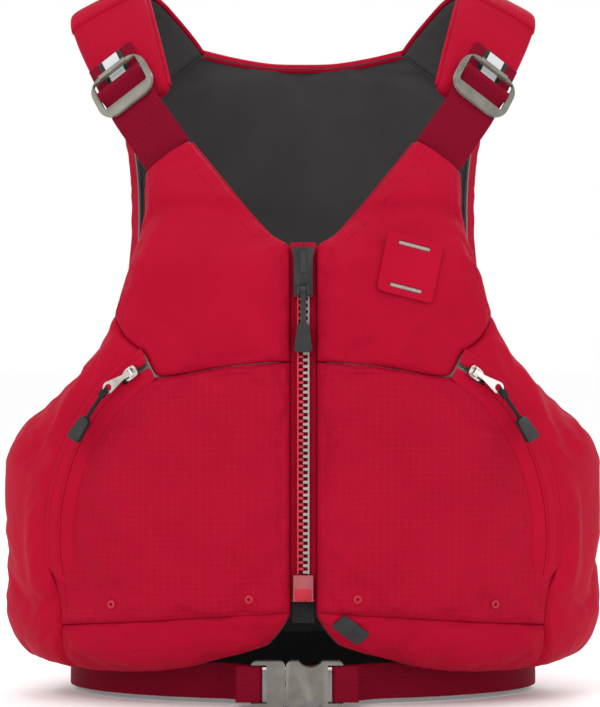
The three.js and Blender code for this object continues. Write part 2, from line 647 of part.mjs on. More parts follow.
function pocketPullGrip() {
  const mouth = POCKET_GRIP.bite - PULL_CORD.length;
  const bore = 2 * (PULL_CORD.radius + GAP);
  return cut(grip(POCKET_GRIP).translate(0, mouth, cordLift), block(bore, 5, bore, 0, mouth - 2, cordLift));
}

// ---------------------------------------------------------------- shoulder strap
// In the strap's frame: x across the strap, y up it, z out of the jacket, from the pad under the crossbar.
const strapFrame = (() => {
  const { angle, height } = ADJUSTER_AT;
  const out = normalOf(torso, angle, height);
  const foot = frontOutline.top(0.5);
  const up = torso(angle, height).sub(torso(foot.x, foot.y));
  up.addScaledVector(out, -up.dot(out)).normalize();
  return new THREE.Matrix4()
    .makeBasis(up.clone().cross(out), up, out)
    .setPosition(off(torso, angle, height, PAD_THICK + GAP));
})();

// The strap's lower end follows the front panel's top edge, a little way off it: its y, z and x, then the
// slopes of y and z across the strap.
const strapFoot = (() => {
  const intoFrame = strapFrame.clone().invert();
  const [a, b] = [0, 1].map((t) => {
    const p = frontOutline.top(t);
    return off(torso, p.x, p.y, FRONT_TOP_THICK / 2).applyMatrix4(intoFrame);
  });
  const middle = a.clone().lerp(b, 0.5);
  return [middle.y + 1.1, middle.z, middle.x, (b.y - a.y) / (b.x - a.x), (b.z - a.z) / (b.x - a.x)];
})();

// A ribbon of webbing through [y, z] points; a point may add the row's x and slopes, as strapFoot does.
function ribbon(points, width, thick) {
  const row = (i, half) => {
    const [y, z, x = 0, skew = 0, tilt = 0] = points[i];
    const [before, after] = [points[Math.max(i - 1, 0)], points[Math.min(i + 1, points.length - 1)]];
    const along = new THREE.Vector2(after[0] - before[0], after[1] - before[1]).normalize();
    return [-width / 2, width / 2].map(
      (w) => new THREE.Vector3(x + w, y + w * skew - along.y * half, z + w * tilt + along.x * half),
    );
  };
  const sheet = (half) => points.map((_, i) => row(i, half));
  return gridSolid(sheet(thick / 2), sheet(-thick / 2));
}

// Up from the front panel, under the adjuster's low bar, round the crossbar and back beneath itself.
function shoulderWebbing() {
  const low = [-24, 2.9];
  const halfway = strapFoot.map((value, i) => lerp(value, low[i] ?? 0, 0.5));
  const turn = ADJUSTER.crossBar + GAP + WEB / 2;
  const roll = [];
  for (let a = -60; a <= 200; a += 26)
    roll.push([turn * Math.sin(a * DEG), CROSSBAR_OUT + turn * Math.cos(a * DEG)]);
  const path = [strapFoot, halfway, low, [-9, 2.9], ...roll, [-9, 0.9], [-22, 0.9]];
  return ribbon(path, STRAP_WIDTH, WEB);
}

const anchorPath = [[0.5, 0.8], [9, 0.8], [18, 0.6], [ANCHOR_LENGTH, 0]];
const anchorWebbing = () => ribbon(anchorPath, STRAP_WIDTH, WEB);
function reflectiveStrip() {
  const above = WEB / 2 + GAP + 0.2;
  const path = anchorPath.map(([y, z], i) => [i === 0 ? 6 : y - (i === 3 ? 0.5 : 0), z + above]);
  return ribbon(path, REFLECTIVE_WIDTH, 0.4);
}

function strapAdjuster() {
  const { length, sideBar, lowBar, topBar, crossBar, thick, corner } = ADJUSTER;
  const window = STRAP_WIDTH + 2 * GAP;
  const middle = -4;
  const [low, high] = [middle - length / 2 + lowBar, middle + length / 2 - topBar];
  const frame = roundedRectangle(window + 2 * sideBar, length, corner, new THREE.Shape(), 0, middle);
  frame.holes.push(roundedRectangle(window, high - low, 2, new THREE.Path(), 0, (low + high) / 2));
  const ring = plate(frame, thick).translate(0, 0, CROSSBAR_OUT + 0.4);
  const bow = block(window - 15, topBar, 2, 0, high + topBar / 2, CROSSBAR_OUT + 2);
  return joined(ring, rodX(crossBar, window + sideBar, 0, 0, CROSSBAR_OUT), bow);
}

// ---------------------------------------------------------------- waist belt and buckle
// In the buckle's frame: x to the wearer's left, y back to the torso, z up, from the middle of the belt.
const buckleFrame = new THREE.Matrix4().makeTranslation(0, -(CHEST_DEPTH + BELT_STANDOFF), BELT_HEIGHT);
const HOUSING = { from: -12, to: -12 + BUCKLE.body };
const femaleBar = HOUSING.to - BUCKLE.slot / 2 + 1;
const maleBar = HOUSING.from - GAP - BUCKLE.lock + BUCKLE.slot / 2 - 1;
const BEHIND_PANEL = { from: 10, to: 19 }; // degrees round the torso where the belt slips behind the hem
const BELT_END = 179.8; // just short of the spine, where the two sides meet

// One side of the belt: round its bar, straight out of the buckle, then inside the lining to the back.
function beltWebbing(barX) {
  const turn = BUCKLE.barRadius + GAP + WEB / 2;
  const y = -(CHEST_DEPTH + BELT_STANDOFF);
  const path = [[barX + 15, y - turn + 1.2]];
  for (let a = 90; a <= 270; a += 30)
    path.push([barX + turn * Math.cos(a * DEG), y - turn * Math.sin(a * DEG)]);
  const start = Math.asin((barX + 6) / TORSO_HALF_WIDTH) / DEG;
  for (let i = 0; i <= 26; i++) {
    const angle = lerp(start, BELT_END, (i / 26) ** 1.3);
    const inwards = smoothstep(angle, BEHIND_PANEL.from, BEHIND_PANEL.to);
    const p = off(torso, angle, BELT_HEIGHT, lerp(BELT_STANDOFF - turn, -BELT_INSET, inwards));
    path.push([p.x, p.y]);
  }
  const edge = (half, end) =>
    path.map(([x, v], i) => {
      const [before, after] = [path[Math.max(i - 1, 0)], path[Math.min(i + 1, path.length - 1)]];
      const along = new THREE.Vector2(after[0] - before[0], after[1] - before[1]).normalize();
      return new THREE.Vector3(x - along.y * half, v + along.x * half, BELT_HEIGHT + (end * BELT_WIDTH) / 2);
    });
  const layer = (half) => [edge(half, -1), edge(half, 1)];
  return gridSolid(layer(WEB / 2), layer(-WEB / 2));
}

const uprightRod = (x) =>
  new THREE.CylinderGeometry(BUCKLE.barRadius, BUCKLE.barRadius, BUCKLE_HEIGHT - 4, 12)
    .rotateX(Math.PI / 2)
    .translate(x, 0, 0);
const beltSlot = (x) => block(2 * BUCKLE.slot, BUCKLE.thick + 2, BELT_WIDTH + 1, x);

// The half on the wearer's left webbing: a flat housing with a window above and below for the prongs.
function buckleFemale() {
  const { thick, wall, body, slot, corner } = BUCKLE;
  const outline = roundedRectangle(body, BUCKLE_HEIGHT, corner, new THREE.Shape(), HOUSING.from + body / 2);
  const housing = facing(outline, thick);
  const chamber = body - slot - 3;
  const hollow = block(chamber, thick - 2 * wall, BUCKLE_HEIGHT - 8, HOUSING.from + chamber / 2 - 2);
  const windows = block(13, thick - 2 * wall, BUCKLE_HEIGHT + 2, HOUSING.from + 16.5);
  const notchZ = BUCKLE_HEIGHT / 2 + 5.5;
  const notches = [1, -1].map((s) =>
    new THREE.CylinderGeometry(10, 10, thick + 2, 20).translate(HOUSING.from + 17, 0, s * notchZ),
  );
  return joined(cut(housing, hollow, windows, ...notches, beltSlot(HOUSING.to)), uprightRod(femaleBar));
}

// The male half: a frame for its webbing and a guide tongue that runs up the middle of the housing.
function buckleMale() {
  const { thick, lock, corner } = BUCKLE;
  const right = HOUSING.from - GAP;
  const outline = roundedRectangle(lock, BUCKLE_HEIGHT, corner, new THREE.Shape(), right - lock / 2);
  const frame = facing(outline, thick);
  return joined(cut(frame, beltSlot(right - lock)), block(22, 2.4, 3, right + 10), uprightRod(maleBar));
}

// The upper springy prong, with the shoulder that shows in the housing's window.
function buckleProng() {
  const x = HOUSING.from;
  const outline = polygon([[x, 3.4], [x, 5.6], [x + 8, 7.6]]);
  outline.quadraticCurveTo(x + 14, 13.6, x + 20, 8);
  outline.lineTo(x + 20, 4.6);
  outline.lineTo(x + 10, 4);
  return plate(outline, BUCKLE.thick - 2 * BUCKLE.wall - 1).rotateX(Math.PI / 2);
}

// ---------------------------------------------------------------- materials and assembly
function finish(color, roughness, metalness = 0) {
  return new THREE.MeshStandardMaterial({ color, roughness, metalness });
}
const RED = finish(0xb3122c, 0.75);
const DEEP_RED = finish(0x86071f, 0.8);
const GREY_LINING = finish(0x4a4947, 0.85);
const FOAM = finish(0xd9d6cc, 0.9);
const BLACK = finish(0x262625, 0.6);
const STONE_GREY = finish(0x9a988a, 0.45);
const BUCKLE_GREY = finish(0x62605a, 0.5);
const STEEL = finish(0xb4b0a6, 0.3, 0.9);
const SILVER_TAPE = finish(0xb9bbbb, 0.4);
const TOOTH_GREY = finish(0xa39a94, 0.45);
const CLEAR_RED = finish(0xc0506a, 0.3);

function group(parent, name, frame = new THREE.Matrix4()) {
  const child = new THREE.Group();
  child.name = name;
  child.applyMatrix4(frame);
  parent.add(child);
  return child;
}

function add(parent, name, geometry, material, frame = new THREE.Matrix4()) {
  const mesh = new THREE.Mesh(geometry, material);
  mesh.name = name;
  mesh.applyMatrix4(frame);
  parent.add(mesh);
}

const jacket = new THREE.Group();
add(jacket, "back_shell", back.shell, RED);
add(jacket, "back_foam", back.foam, FOAM);
add(jacket, "back_lining", back.lining, GREY_LINING);

// Everything that has a twin is made for the wearer's left; the right half is its mirror image.
for (const name of ["left", "right"]) {
  const left = name === "left";
  const half = group(jacket, `half_${name}`);
  if (!left) half.scale.x = -1;

  add(half, `shoulder_pad_${name}`, shoulderPad(), RED);
  add(half, `side_gusset_${name}`, sideGusset(), RED);
  add(half, `front_shell_${name}`, front.shell, RED);
  add(half, `front_foam_${name}`, front.foam, FOAM);
  add(half, `front_lining_${name}`, front.lining, GREY_LINING);
  add(half, `pocket_panel_${name}`, pocketCloth, RED);
  const eyelet = { width: 2 * EYELET.radius, tall: 2 * EYELET.radius };
  add(half, `drain_grommet_inner_${name}`, drainEyelet(), RED, onFront(EYELET_AT.inner, eyelet));
  add(half, `drain_grommet_outer_${name}`, drainEyelet(), RED, onFront(EYELET_AT.outer, eyelet));

  add(half, `zip_tape_${name}`, zipTape(), RED);
  add(half, `zip_teeth_${name}`, zipTeeth(left ? 0 : TOOTH.pitch / 2), left ? TOOTH_GREY : RED);
  add(half, `zip_top_stop_${name}`, zipStop(), BLACK);

  const pocket = group(half, `pocket_zip_${name}`, pocketFrame);
  add(pocket, `pocket_zip_tape_${name}`, pocketZipTape(), RED);
  const slider = group(pocket, `pocket_slider_frame_${name}`, pocketSliderFrame);
  add(slider, `pocket_slider_${name}`, pocketSlider(), STEEL);
  const tab = group(slider, `pocket_tab_frame_${name}`, tabFrame);
  add(tab, `pocket_pull_tab_${name}`, pocketPullTab(), STEEL);
  const cord = group(tab, `pocket_cord_frame_${name}`, cordFrame);
  add(cord, `pocket_pull_cord_${name}`, pocketPullCord(), BLACK);
  add(cord, `pocket_pull_grip_${name}`, pocketPullGrip(), BLACK);

  const strap = group(half, `strap_frame_${name}`, strapFrame);
  add(strap, `shoulder_webbing_${name}`, shoulderWebbing(), DEEP_RED);
  add(strap, `anchor_webbing_${name}`, anchorWebbing(), DEEP_RED);
  add(strap, `reflective_strip_${name}`, reflectiveStrip(), SILVER_TAPE);
  add(strap, `strap_adjuster_${name}`, strapAdjuster(), STONE_GREY);

  add(half, `belt_webbing_${name}`, beltWebbing(left ? femaleBar : -maleBar), DEEP_RED);
}

add(jacket, "lash_tab", lashTab(), RED, onFront(LASH_AT, LASH, LASH.turn));
add(jacket, "corner_patch", cornerPatch(), BLACK, onFront(PATCH_AT, PATCH, PATCH.turn));

add(jacket, "zip_pin", zipPin(), CLEAR_RED);
add(jacket, "zip_box", zipBox(), CLEAR_RED);
add(jacket, "zip_guard", zipGuard(), BLACK);
add(jacket, "zip_slider", zipSlider(), BLACK, sliderFrame);
const pull = group(jacket, "main_pull_frame", pullFrame);
add(pull, "zip_pull_link", zipPullLink(), BLACK);
add(pull, "zip_pull_grip", zipPullGrip(), BLACK);

const buckle = group(jacket, "buckle_frame", buckleFrame);
add(buckle, "buckle_female", buckleFemale(), BUCKLE_GREY);
add(buckle, "buckle_male", buckleMale(), BUCKLE_GREY);
add(buckle, "buckle_prong_upper", buckleProng(), BUCKLE_GREY);
add(buckle, "buckle_prong_lower", buckleProng(), BUCKLE_GREY, new THREE.Matrix4().makeRotationX(Math.PI));

export default jacket;
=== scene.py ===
"""Looks for the life jacket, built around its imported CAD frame. Lengths are in mm until a mesh is made."""

import math

import bmesh
import bpy
import numpy as np
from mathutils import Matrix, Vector
from mathutils.bvhtree import BVHTree


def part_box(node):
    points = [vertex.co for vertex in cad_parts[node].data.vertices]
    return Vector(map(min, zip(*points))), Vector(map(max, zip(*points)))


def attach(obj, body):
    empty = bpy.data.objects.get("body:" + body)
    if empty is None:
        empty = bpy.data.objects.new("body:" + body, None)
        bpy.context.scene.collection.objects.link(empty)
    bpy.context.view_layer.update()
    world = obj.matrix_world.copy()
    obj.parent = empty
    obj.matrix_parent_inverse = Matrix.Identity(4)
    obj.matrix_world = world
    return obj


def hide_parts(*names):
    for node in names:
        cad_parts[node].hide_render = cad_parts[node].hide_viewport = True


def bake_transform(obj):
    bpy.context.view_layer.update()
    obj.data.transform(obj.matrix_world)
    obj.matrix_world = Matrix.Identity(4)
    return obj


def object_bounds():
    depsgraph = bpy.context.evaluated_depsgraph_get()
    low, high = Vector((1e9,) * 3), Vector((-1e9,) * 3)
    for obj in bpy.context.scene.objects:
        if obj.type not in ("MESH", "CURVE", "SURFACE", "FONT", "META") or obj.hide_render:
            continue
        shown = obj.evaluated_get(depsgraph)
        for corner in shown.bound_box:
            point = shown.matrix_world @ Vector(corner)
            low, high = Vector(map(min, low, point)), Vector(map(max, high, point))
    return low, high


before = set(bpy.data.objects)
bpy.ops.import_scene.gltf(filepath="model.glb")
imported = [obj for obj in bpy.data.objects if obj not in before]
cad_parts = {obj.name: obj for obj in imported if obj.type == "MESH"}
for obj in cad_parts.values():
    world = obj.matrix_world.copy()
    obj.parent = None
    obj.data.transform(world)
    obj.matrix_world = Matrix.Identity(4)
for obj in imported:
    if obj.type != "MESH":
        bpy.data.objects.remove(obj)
cad_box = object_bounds()
rng = np.random.default_rng(11)
SCENE = bpy.context.scene
SCENE.view_settings.view_transform = "Standard"
MM = 0.001
D = math.pi / 180
MIRROR = {"left": 1, "right": -1}  # what is drawn for the left is mirrored for the right

# ------------------------------------------------------------------ camera
# Straight on to the chest from 2 m, as the photograph was taken.
cam = bpy.data.objects.new("camera", bpy.data.cameras.new("camera"))
SCENE.collection.objects.link(cam)
SCENE.camera = cam
cam.location = (-0.0022, -2.0, 0.245)
cam.rotation_euler = (math.pi / 2, 0, 0)
cam.data.sensor_width = 36
cam.data.lens = 138.6
cam.data.clip_end = 60

# ------------------------------------------------------------------ sizes shared with the CAD source
A, CHEST, BACK, TOP = 172.0, 105.0, 100.0, 507.0  # torso: half width, depths, shoulder height
HEM = 22.0
CLOTH_LIFT = 1.0  # visible cloth above the CAD shell's surface
FRONT_THICK, BACK_THICK, PAD_THICK = 45.0, 21.0, 12.0
MM_PER_DEGREE = 2.45  # along the torso's side
CLOTH_PER_DEGREE = 3.15  # along the cloth outside it, for the weave
ARC = dict(radius=136.5, along=-62.0, height=117.0, low=-8.0, high=62.0)  # the pocket zip
ZIP_CORNER = 318.0
TAPE_Y = -(CHEST + FRONT_THICK * 0.74 - 4.3)
BELT_Z, BELT_WIDTH, WEB = 16.5, 25.4, 1.6
LIE = 1.3  # exponent of the belt's steps round the torso
SPINE = 179.8


def rise(d):
    return HEM + d


def down(d):
    return TOP - d


# ------------------------------------------------------------------ the torso's surface
def crest(x):
    return TOP - 0.52 * (np.hypot(x, 30) - math.hypot(A * math.sin(41.5 * D), 30))


def torso(a, z):
    a, z = np.broadcast_arrays(np.asarray(a, float), np.asarray(z, float))
    x, f = A * np.sin(a * D), np.cos(a * D)
    start = np.where(f > 0, down(257), down(177))
    lean = np.clip((z - start) / (crest(x) - start), 0, 1)
    depth = np.where(f > 0, CHEST, BACK) * np.sqrt(1 - lean * lean)
    return np.stack([x, -f * depth, z], -1)


def over_shoulder(a, turn):
    """A point over the shoulder: turn 0 is at the back, 90 the crest."""
    a, turn = np.broadcast_arrays(np.asarray(a, float), np.asarray(turn, float))
    front = turn > 90
    start = np.where(front, down(257), down(177))
    x = A * np.sin(a * D)
    y = np.where(front, CHEST, BACK) * np.cos(turn * D) * np.cos(a * D)
    return np.stack([x, y, start + (crest(x) - start) * np.sin(turn * D)], -1)


def unit(v):
    return v / np.maximum(np.linalg.norm(v, axis=-1, keepdims=True), 1e-9)


def normal(surface, a, b, da=0.4, db=1.0):
    u = surface(a + da, b) - surface(a - da, b)
    v = surface(a, b + db) - surface(a, b - db)
    return unit(np.cross(u, v))


def off(surface, a, b, h):
    """Points h above a surface."""
    return surface(a, b) + normal(surface, a, b) * np.asarray(h, float)[..., None]


# ------------------------------------------------------------------ curves on the pattern (degrees, mm)
def spline(points, per=14):
    p = np.array(points, float)
    out = []
    for i in range(len(p) - 1):
        p0, p1, p2, p3 = p[max(i - 1, 0)], p[i], p[i + 1], p[min(i + 2, len(p) - 1)]
        v0, v1 = (p2 - p0) / 2, (p3 - p1) / 2
        for t in np.arange(per) / per:
            cubic, square = 2 * p1 - 2 * p2 + v0 + v1, -3 * p1 + 3 * p2 - 2 * v0 - v1
            out.append(cubic * t**3 + square * t**2 + v0 * t + p1)
    return np.array(out + [p[-1]])


def chain(*curves):
    """Curves joined end to end, without the doubled point where two meet."""
    out = [curves[0]]
    for c in curves[1:]:
        out.append(c[1:] if np.allclose(c[0], out[-1][-1], atol=0.3) else c)
    return np.concatenate(out)


def metric(p):
    return p * np.array([MM_PER_DEGREE, 1.0])


def along_lengths(line):
    """How far along a polyline each of its points lies."""
    return np.concatenate([[0], np.cumsum(np.linalg.norm(np.diff(line, axis=0), axis=1))])


def raw(curve, t, s=None):
    """Points of a polyline at shares t of its length, which s gives at each of its points."""
    s = along_lengths(curve) if s is None else s
    return np.stack([np.interp(np.asarray(t) * s[-1], s, curve[:, k]) for k in range(2)], -1)


def at(curve, t):
    """Points of a polyline at shares t of its length on the cloth."""
    return raw(curve, t, along_lengths(metric(curve)))


def until(curve, test):
    """The part of a polyline before the first point that passes the test."""
    return curve[: next(i for i, p in enumerate(curve) if test(p)) + 1]


def from_there(curve, test):
    return curve[next(i for i, p in enumerate(curve) if test(p)) :]


def distance(curve, p):
    c, q = metric(at(curve, np.linspace(0, 1, 160))), metric(p.reshape(-1, 2))
    return np.min(np.linalg.norm(q[:, None] - c[None], axis=-1), axis=1).reshape(p.shape[:-1])


def coons(bottom, top, first, second, us, vs):
    b, t, f, s = at(bottom, us), at(top, us), at(first, vs), at(second, vs)
    u, v = us[None, :, None], vs[:, None, None]
    p = (1 - v) * b[None] + v * t[None] + (1 - u) * f[:, None] + u * s[:, None]
    return p - ((1 - u) * (1 - v) * b[0] + u * (1 - v) * b[-1] + (1 - u) * v * t[0] + u * v * t[-1])


def steps(n):
    """n spans, closer together at both ends."""
    k = np.arange(n + 1) / n
    return 0.45 * k + 0.55 * (0.5 - 0.5 * np.cos(np.pi * k))


def smooth(x, a, b):
    t = np.clip((x - a) / (b - a), 0, 1)
    return t * t * (3 - 2 * t)


def rounding(share, radius, d):
    """The share of the height left at distance d from an edge, as a quarter round."""
    return share + (1 - share) * np.sqrt(np.clip(1 - (1 - np.minimum(d / radius, 1)) ** 2, 0, 1))


# ------------------------------------------------------------------ front panel: outline and height
CENTRE, SIDE = 2.75, 88.0
N1, A1, UNDER_ARM = [27, down(114)], [38, down(136)], [SIDE, down(329)]
hem_line = spline([[8, rise(21)], [14, rise(15)], [20, rise(10.5)], [28, rise(4)], [42, HEM], [62, HEM],
                   [80, rise(3)], [SIDE, rise(9)]])
centre_bend = spline([[8, rise(21)], [5, rise(32)], [CENTRE + 0.1, rise(44)], [CENTRE, rise(54)]])
centre_line = spline([[CENTRE, rise(54)], [CENTRE, ZIP_CORNER]])
neckline = spline([[CENTRE, ZIP_CORNER], [6.5, down(183)], [12, down(166)], [20.5, down(136)], N1])
strap_end = spline([N1, A1])
armhole = spline([UNDER_ARM, [78, down(311)], [63, down(292)], [52, down(270)], [45.5, down(249)],
                  [41.5, down(222)], [38.5, down(192)], [37.3, down(162)], A1])
side_line = spline([[SIDE, rise(9)], UNDER_ARM])
# each edge with the share of the thickness left there and the radius of its rounding
FRONT_EDGES = [(chain(centre_bend, centre_line, neckline), 0.74, 14), (chain(side_line, armhole), 0.5, 26),
               (hem_line, 0.3, 40), (strap_end, 0.8, 8)]

plane_a, plane_b = (off(torso, np.array(a), np.array(HEM), np.array(FRONT_THICK)) for a in (31.0, 52.5))
PLANE_ALONG = unit(plane_b - plane_a)
PLANE_OUT = np.array([PLANE_ALONG[1], -PLANE_ALONG[0], 0.0])
PLANE_ORIGIN = (plane_a + PLANE_OUT * 1.0) * [1, 1, 0]


def on_plane(along, up, out=0.0):
    """A point of the plane that the pocket zip lies in."""
    along, up, out = np.broadcast_arrays(along, up, out)
    level = PLANE_ORIGIN + along[..., None] * PLANE_ALONG + out[..., None] * PLANE_OUT
    return level + up[..., None] * np.array([0, 0, 1.0])


def arc_point(turn, wide=0.0, out=0.0):
    r, q = ARC["radius"] + np.asarray(wide, float), np.asarray(turn) * D
    return on_plane(ARC["along"] + r * np.cos(q), ARC["height"] + r * np.sin(q), out)


def pattern_of(points):
    """Angle and height on the pattern of points that stand off the ribs."""
    low, high = np.full(len(points), 2.0), np.full(len(points), 100.0)
    for _ in range(40):
        mid = (low + high) / 2
        t, n = torso(mid, points[:, 2]), normal(torso, mid, points[:, 2])
        d = points - t
        over = n[:, 0] * d[:, 1] - n[:, 1] * d[:, 0] > 0
        low, high = np.where(over, mid, low), np.where(over, high, mid)
    return np.stack([(low + high) / 2, points[:, 2]], -1)


def arc_away(a, z, thick):
    """Distance from the pocket zip's line, in its plane."""
    q = off(torso, a, z, thick) - PLANE_ORIGIN
    along, up = q @ PLANE_ALONG - ARC["along"], z - ARC["height"]
    turn = np.clip(np.arctan2(up, along), ARC["low"] * D, ARC["high"] * D)
    return np.hypot(along - ARC["radius"] * np.cos(turn), up - ARC["radius"] * np.sin(turn))


def front_height(p):
    """How far the front's outside stands off the torso."""
    a, z = p[..., 0], p[..., 1]
    middle = 0.6 * FRONT_THICK
    plain = np.where(
        z < down(162), FRONT_THICK + (middle - FRONT_THICK) * smooth(z, down(207), down(162)),
        middle + (12 - middle) * smooth(z, down(162), down(107)),
    )
    base, n = torso(a, z), normal(torso, a, z)
    flat = -((base - PLANE_ORIGIN) @ PLANE_OUT) / np.maximum(n @ PLANE_OUT, 0.2)
    h = flat + (plain - flat) * smooth(arc_away(a, z, plain), 16, 34)
    for curve, share, radius in FRONT_EDGES:
        h = h * rounding(share, radius, distance(curve, p))
    return h


# Seams: the yoke's, the pocket's foot, and the curved zip between pocket and side panel.
ZIP_TURNS = np.linspace(ARC["high"], ARC["low"], 40)
zip_in = pattern_of(arc_point(ZIP_TURNS, -10.0))
zip_out = pattern_of(arc_point(ZIP_TURNS, 10.0))
J_IN, J_OUT = zip_in[0], zip_out[0]
POCKET_END, POCKET_FOOT = [55.2, 80.0], [55.0, 55.0]
POCKET_LOW, POCKET_HIGH = 68.0, 239.0  # the pocket's foot and the yoke's seam beside the main zip
YOKE_CUT = [43.2, 272.0]
armhole_low = until(armhole, lambda p: p[1] > YOKE_CUT[1])
armhole_high = from_there(armhole, lambda p: p[1] > YOKE_CUT[1])
YOKE_CUT = list(armhole_low[-1])
yoke_in = spline([[CENTRE, POCKET_HIGH], [7, 238.3], [14, 236.3], [21, 232.8], [26, 229.6], list(J_IN)])
yoke_out = spline([list(J_OUT), [36.8, 253.5], [39.6, 262.5], YOKE_CUT])
yoke_seam = chain(yoke_in, np.array([J_IN, J_OUT]), yoke_out)
pocket_foot = spline([[CENTRE + 0.05, POCKET_LOW], [10, 66.2], [20.5, 64], [31, 61], [43, 58], POCKET_FOOT])
tail_in = spline([list(zip_in[-1]), [54.9, 88.0], POCKET_END])
tail_out = spline([list(zip_out[-1]), [56.6, 90.0], POCKET_END])
tail = spline([POCKET_END, POCKET_FOOT])
BAND_SPLIT = 56.5
hem_inner = until(hem_line, lambda p: p[0] > BAND_SPLIT)
hem_outer = from_there(hem_line, lambda p: p[0] > BAND_SPLIT)
band_side = spline([list(hem_inner[-1]), POCKET_FOOT])
centre_foot = until(centre_bend, lambda p: p[1] >= POCKET_LOW)


# ------------------------------------------------------------------ meshes
def mesh_object(name, points, faces, material, pattern=None, side="left", levels=0):
    """A mesh from points in mm, mirrored for the right side, with its place on the cloth as an attribute."""
    points = np.array(points, float) * MM
    if side == "right":
        points = points * [-1, 1, 1]
        faces = [tuple(reversed(f)) for f in faces]
    mesh = bpy.data.meshes.new(name)
    mesh.from_pydata(points.tolist(), [], [tuple(int(i) for i in f) for f in faces])
    mesh.materials.append(material)
    mesh.polygons.foreach_set("use_smooth", [True] * len(mesh.polygons))
    if pattern is not None:
        data = np.zeros((len(points), 3), np.float32)
        data[:, :2] = np.asarray(pattern, float).reshape(-1, 2) * MM
        mesh.attributes.new("pattern", "FLOAT_VECTOR", "POINT").data.foreach_set("vector", data.ravel())
    obj = bpy.data.objects.new(name, mesh)
    SCENE.collection.objects.link(obj)
    if levels:
        m = obj.modifiers.new("finer", "SUBSURF")
        m.levels = m.render_levels = levels
    return obj


def grid_faces(rows, columns, start=0, wrap=False):
    out = []
    for i in range(rows - 1):
        low, high = start + i * columns, start + (i + 1) * columns
        for j in range(columns if wrap else columns - 1):
            k = (j + 1) % columns
            out.append((low + j, low + k, high + k, high + j))
    return out


def place(obj, body, node=None):
    """Carries a piece on a CAD body, in the place of a CAD node if it names one."""
    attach(obj, body)
    if node:
        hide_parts(node)
    return obj


def swept(name, loops, material, side="left", pattern=None, levels=0):
    """A closed body through closed loops of points, with flat ends."""
    loops = np.array(loops, float)
    rows, columns = loops.shape[:2]
    faces = grid_faces(rows, columns, wrap=True)
    faces += [tuple(range(columns))[::-1], tuple((rows - 1) * columns + j for j in range(columns))]
    points = loops.reshape(-1, 3)
    volume = 0
    for f in faces:
        for i in range(1, len(f) - 1):
            volume += np.dot(points[f[0]], np.cross(points[f[i]], points[f[i + 1]]))
    if volume < 0:
        faces = [tuple(reversed(f)) for f in faces]
    return mesh_object(name, points, faces, material, pattern, side, levels)


def rounded_section(width, thick, n=5, bulge=0.0):
    """A strap's cross-section: flat faces and rounded selvedges, as (across, up) pairs."""
    r = thick / 2
    turns = np.linspace(-math.pi / 2, math.pi / 2, n)
    right = [(width / 2 - r + r * math.cos(t), r * math.sin(t)) for t in turns]
    across = np.linspace(width / 2 - r, -width / 2 + r, 9)[1:-1]
    top = [(x, r + bulge * (1 - (2 * x / width) ** 2)) for x in across]
    left = [(-x, -y) for x, y in right]
    return np.array(right + top + left + [(-x, -y) for x, y in top])


# ------------------------------------------------------------------ materials
class Nodes:
    def __init__(self, name):
        self.material = bpy.data.materials.new(name)
        self.material.use_nodes = True
        self.tree = self.material.node_tree
        self.shader = self.tree.nodes["Principled BSDF"]

    def add(self, kind, **values):
        node = self.tree.nodes.new(kind)
        for key, value in values.items():
            if key.startswith("i_"):
                self.put(node.inputs[key[2:].replace("_", " ")], value)
            elif key.startswith("n_"):
                self.put(node.inputs[int(key[2:])], value)
            else:
                setattr(node, key, value)
        return node

    def put(self, socket, value):
        if isinstance(value, bpy.types.NodeSocket):
            self.tree.links.new(value, socket)
        else:
            socket.default_value = value

    def math(self, operation, a, b=0.0, c=0.0):
        return self.add("ShaderNodeMath", operation=operation, n_0=a, n_1=b, n_2=c).outputs[0]

    def mix(self, share, a, b):
        node = self.add("ShaderNodeMix", data_type="RGBA")
        self.put(node.inputs[0], share)
        self.put(node.inputs[6], a)
        self.put(node.inputs[7], b)
        return node.outputs[2]

    def noise(self, where, scale, detail=3.0, rough=0.5):
        node = self.add("ShaderNodeTexNoise", i_Scale=scale, i_Detail=detail, i_Roughness=rough)
        self.put(node.inputs["Vector"], where)
        return node.outputs["Fac"]

    def ramp(self, value, a, b, low=0.0, high=1.0):
        return self.add("ShaderNodeMapRange", n_0=value, n_1=a, n_2=b, n_3=low, n_4=high).outputs[0]

    def bump(self, height, distance_m, strength=1.0, under=None):
        node = self.add("ShaderNodeBump", i_Height=height, i_Distance=distance_m, i_Strength=strength)
        if under is not None:
            self.put(node.inputs["Normal"], under)
        return node.outputs["Normal"]

    def done(self, color, rough, bump=None, **shader):
        self.put(self.shader.inputs["Base Color"], color)
        self.put(self.shader.inputs["Roughness"], rough)
        if bump is not None:
            self.put(self.shader.inputs["Normal"], bump)
        for key, value in shader.items():
            self.shader.inputs[key.replace("_", " ")].default_value = value
        return self.material

    def pattern(self):
        return self.add("ShaderNodeAttribute", attribute_name="pattern").outputs["Vector"]

    def place(self):
        return self.add("ShaderNodeTexCoord").outputs["Object"]

    def xy(self, vector):
        out = self.add("ShaderNodeSeparateXYZ", n_0=vector).outputs
        return out[0], out[1]


def wave(n, x, pitch):
    """0 to 1 to 0 over each pitch, in metres."""
    return n.math("MULTIPLY_ADD", n.math("SINE", n.math("MULTIPLY", x, 2 * math.pi / pitch)), 0.5, 0.5)


def lines(n, x, pitch, width, wander=None):
    """1 on lines one pitch apart, 0 between them."""
    if wander is not None:
        x = n.math("ADD", x, wander)
    d = n.math("ABSOLUTE", n.math("SUBTRACT", n.math("FRACT", n.math("DIVIDE", x, pitch)), 0.5))
    return n.ramp(d, 0.5 * width / pitch, 0.3 * width / pitch)


def paler(color, gain, lift):
    return [min(1, c * gain + lift) for c in color[:3]] + [1]


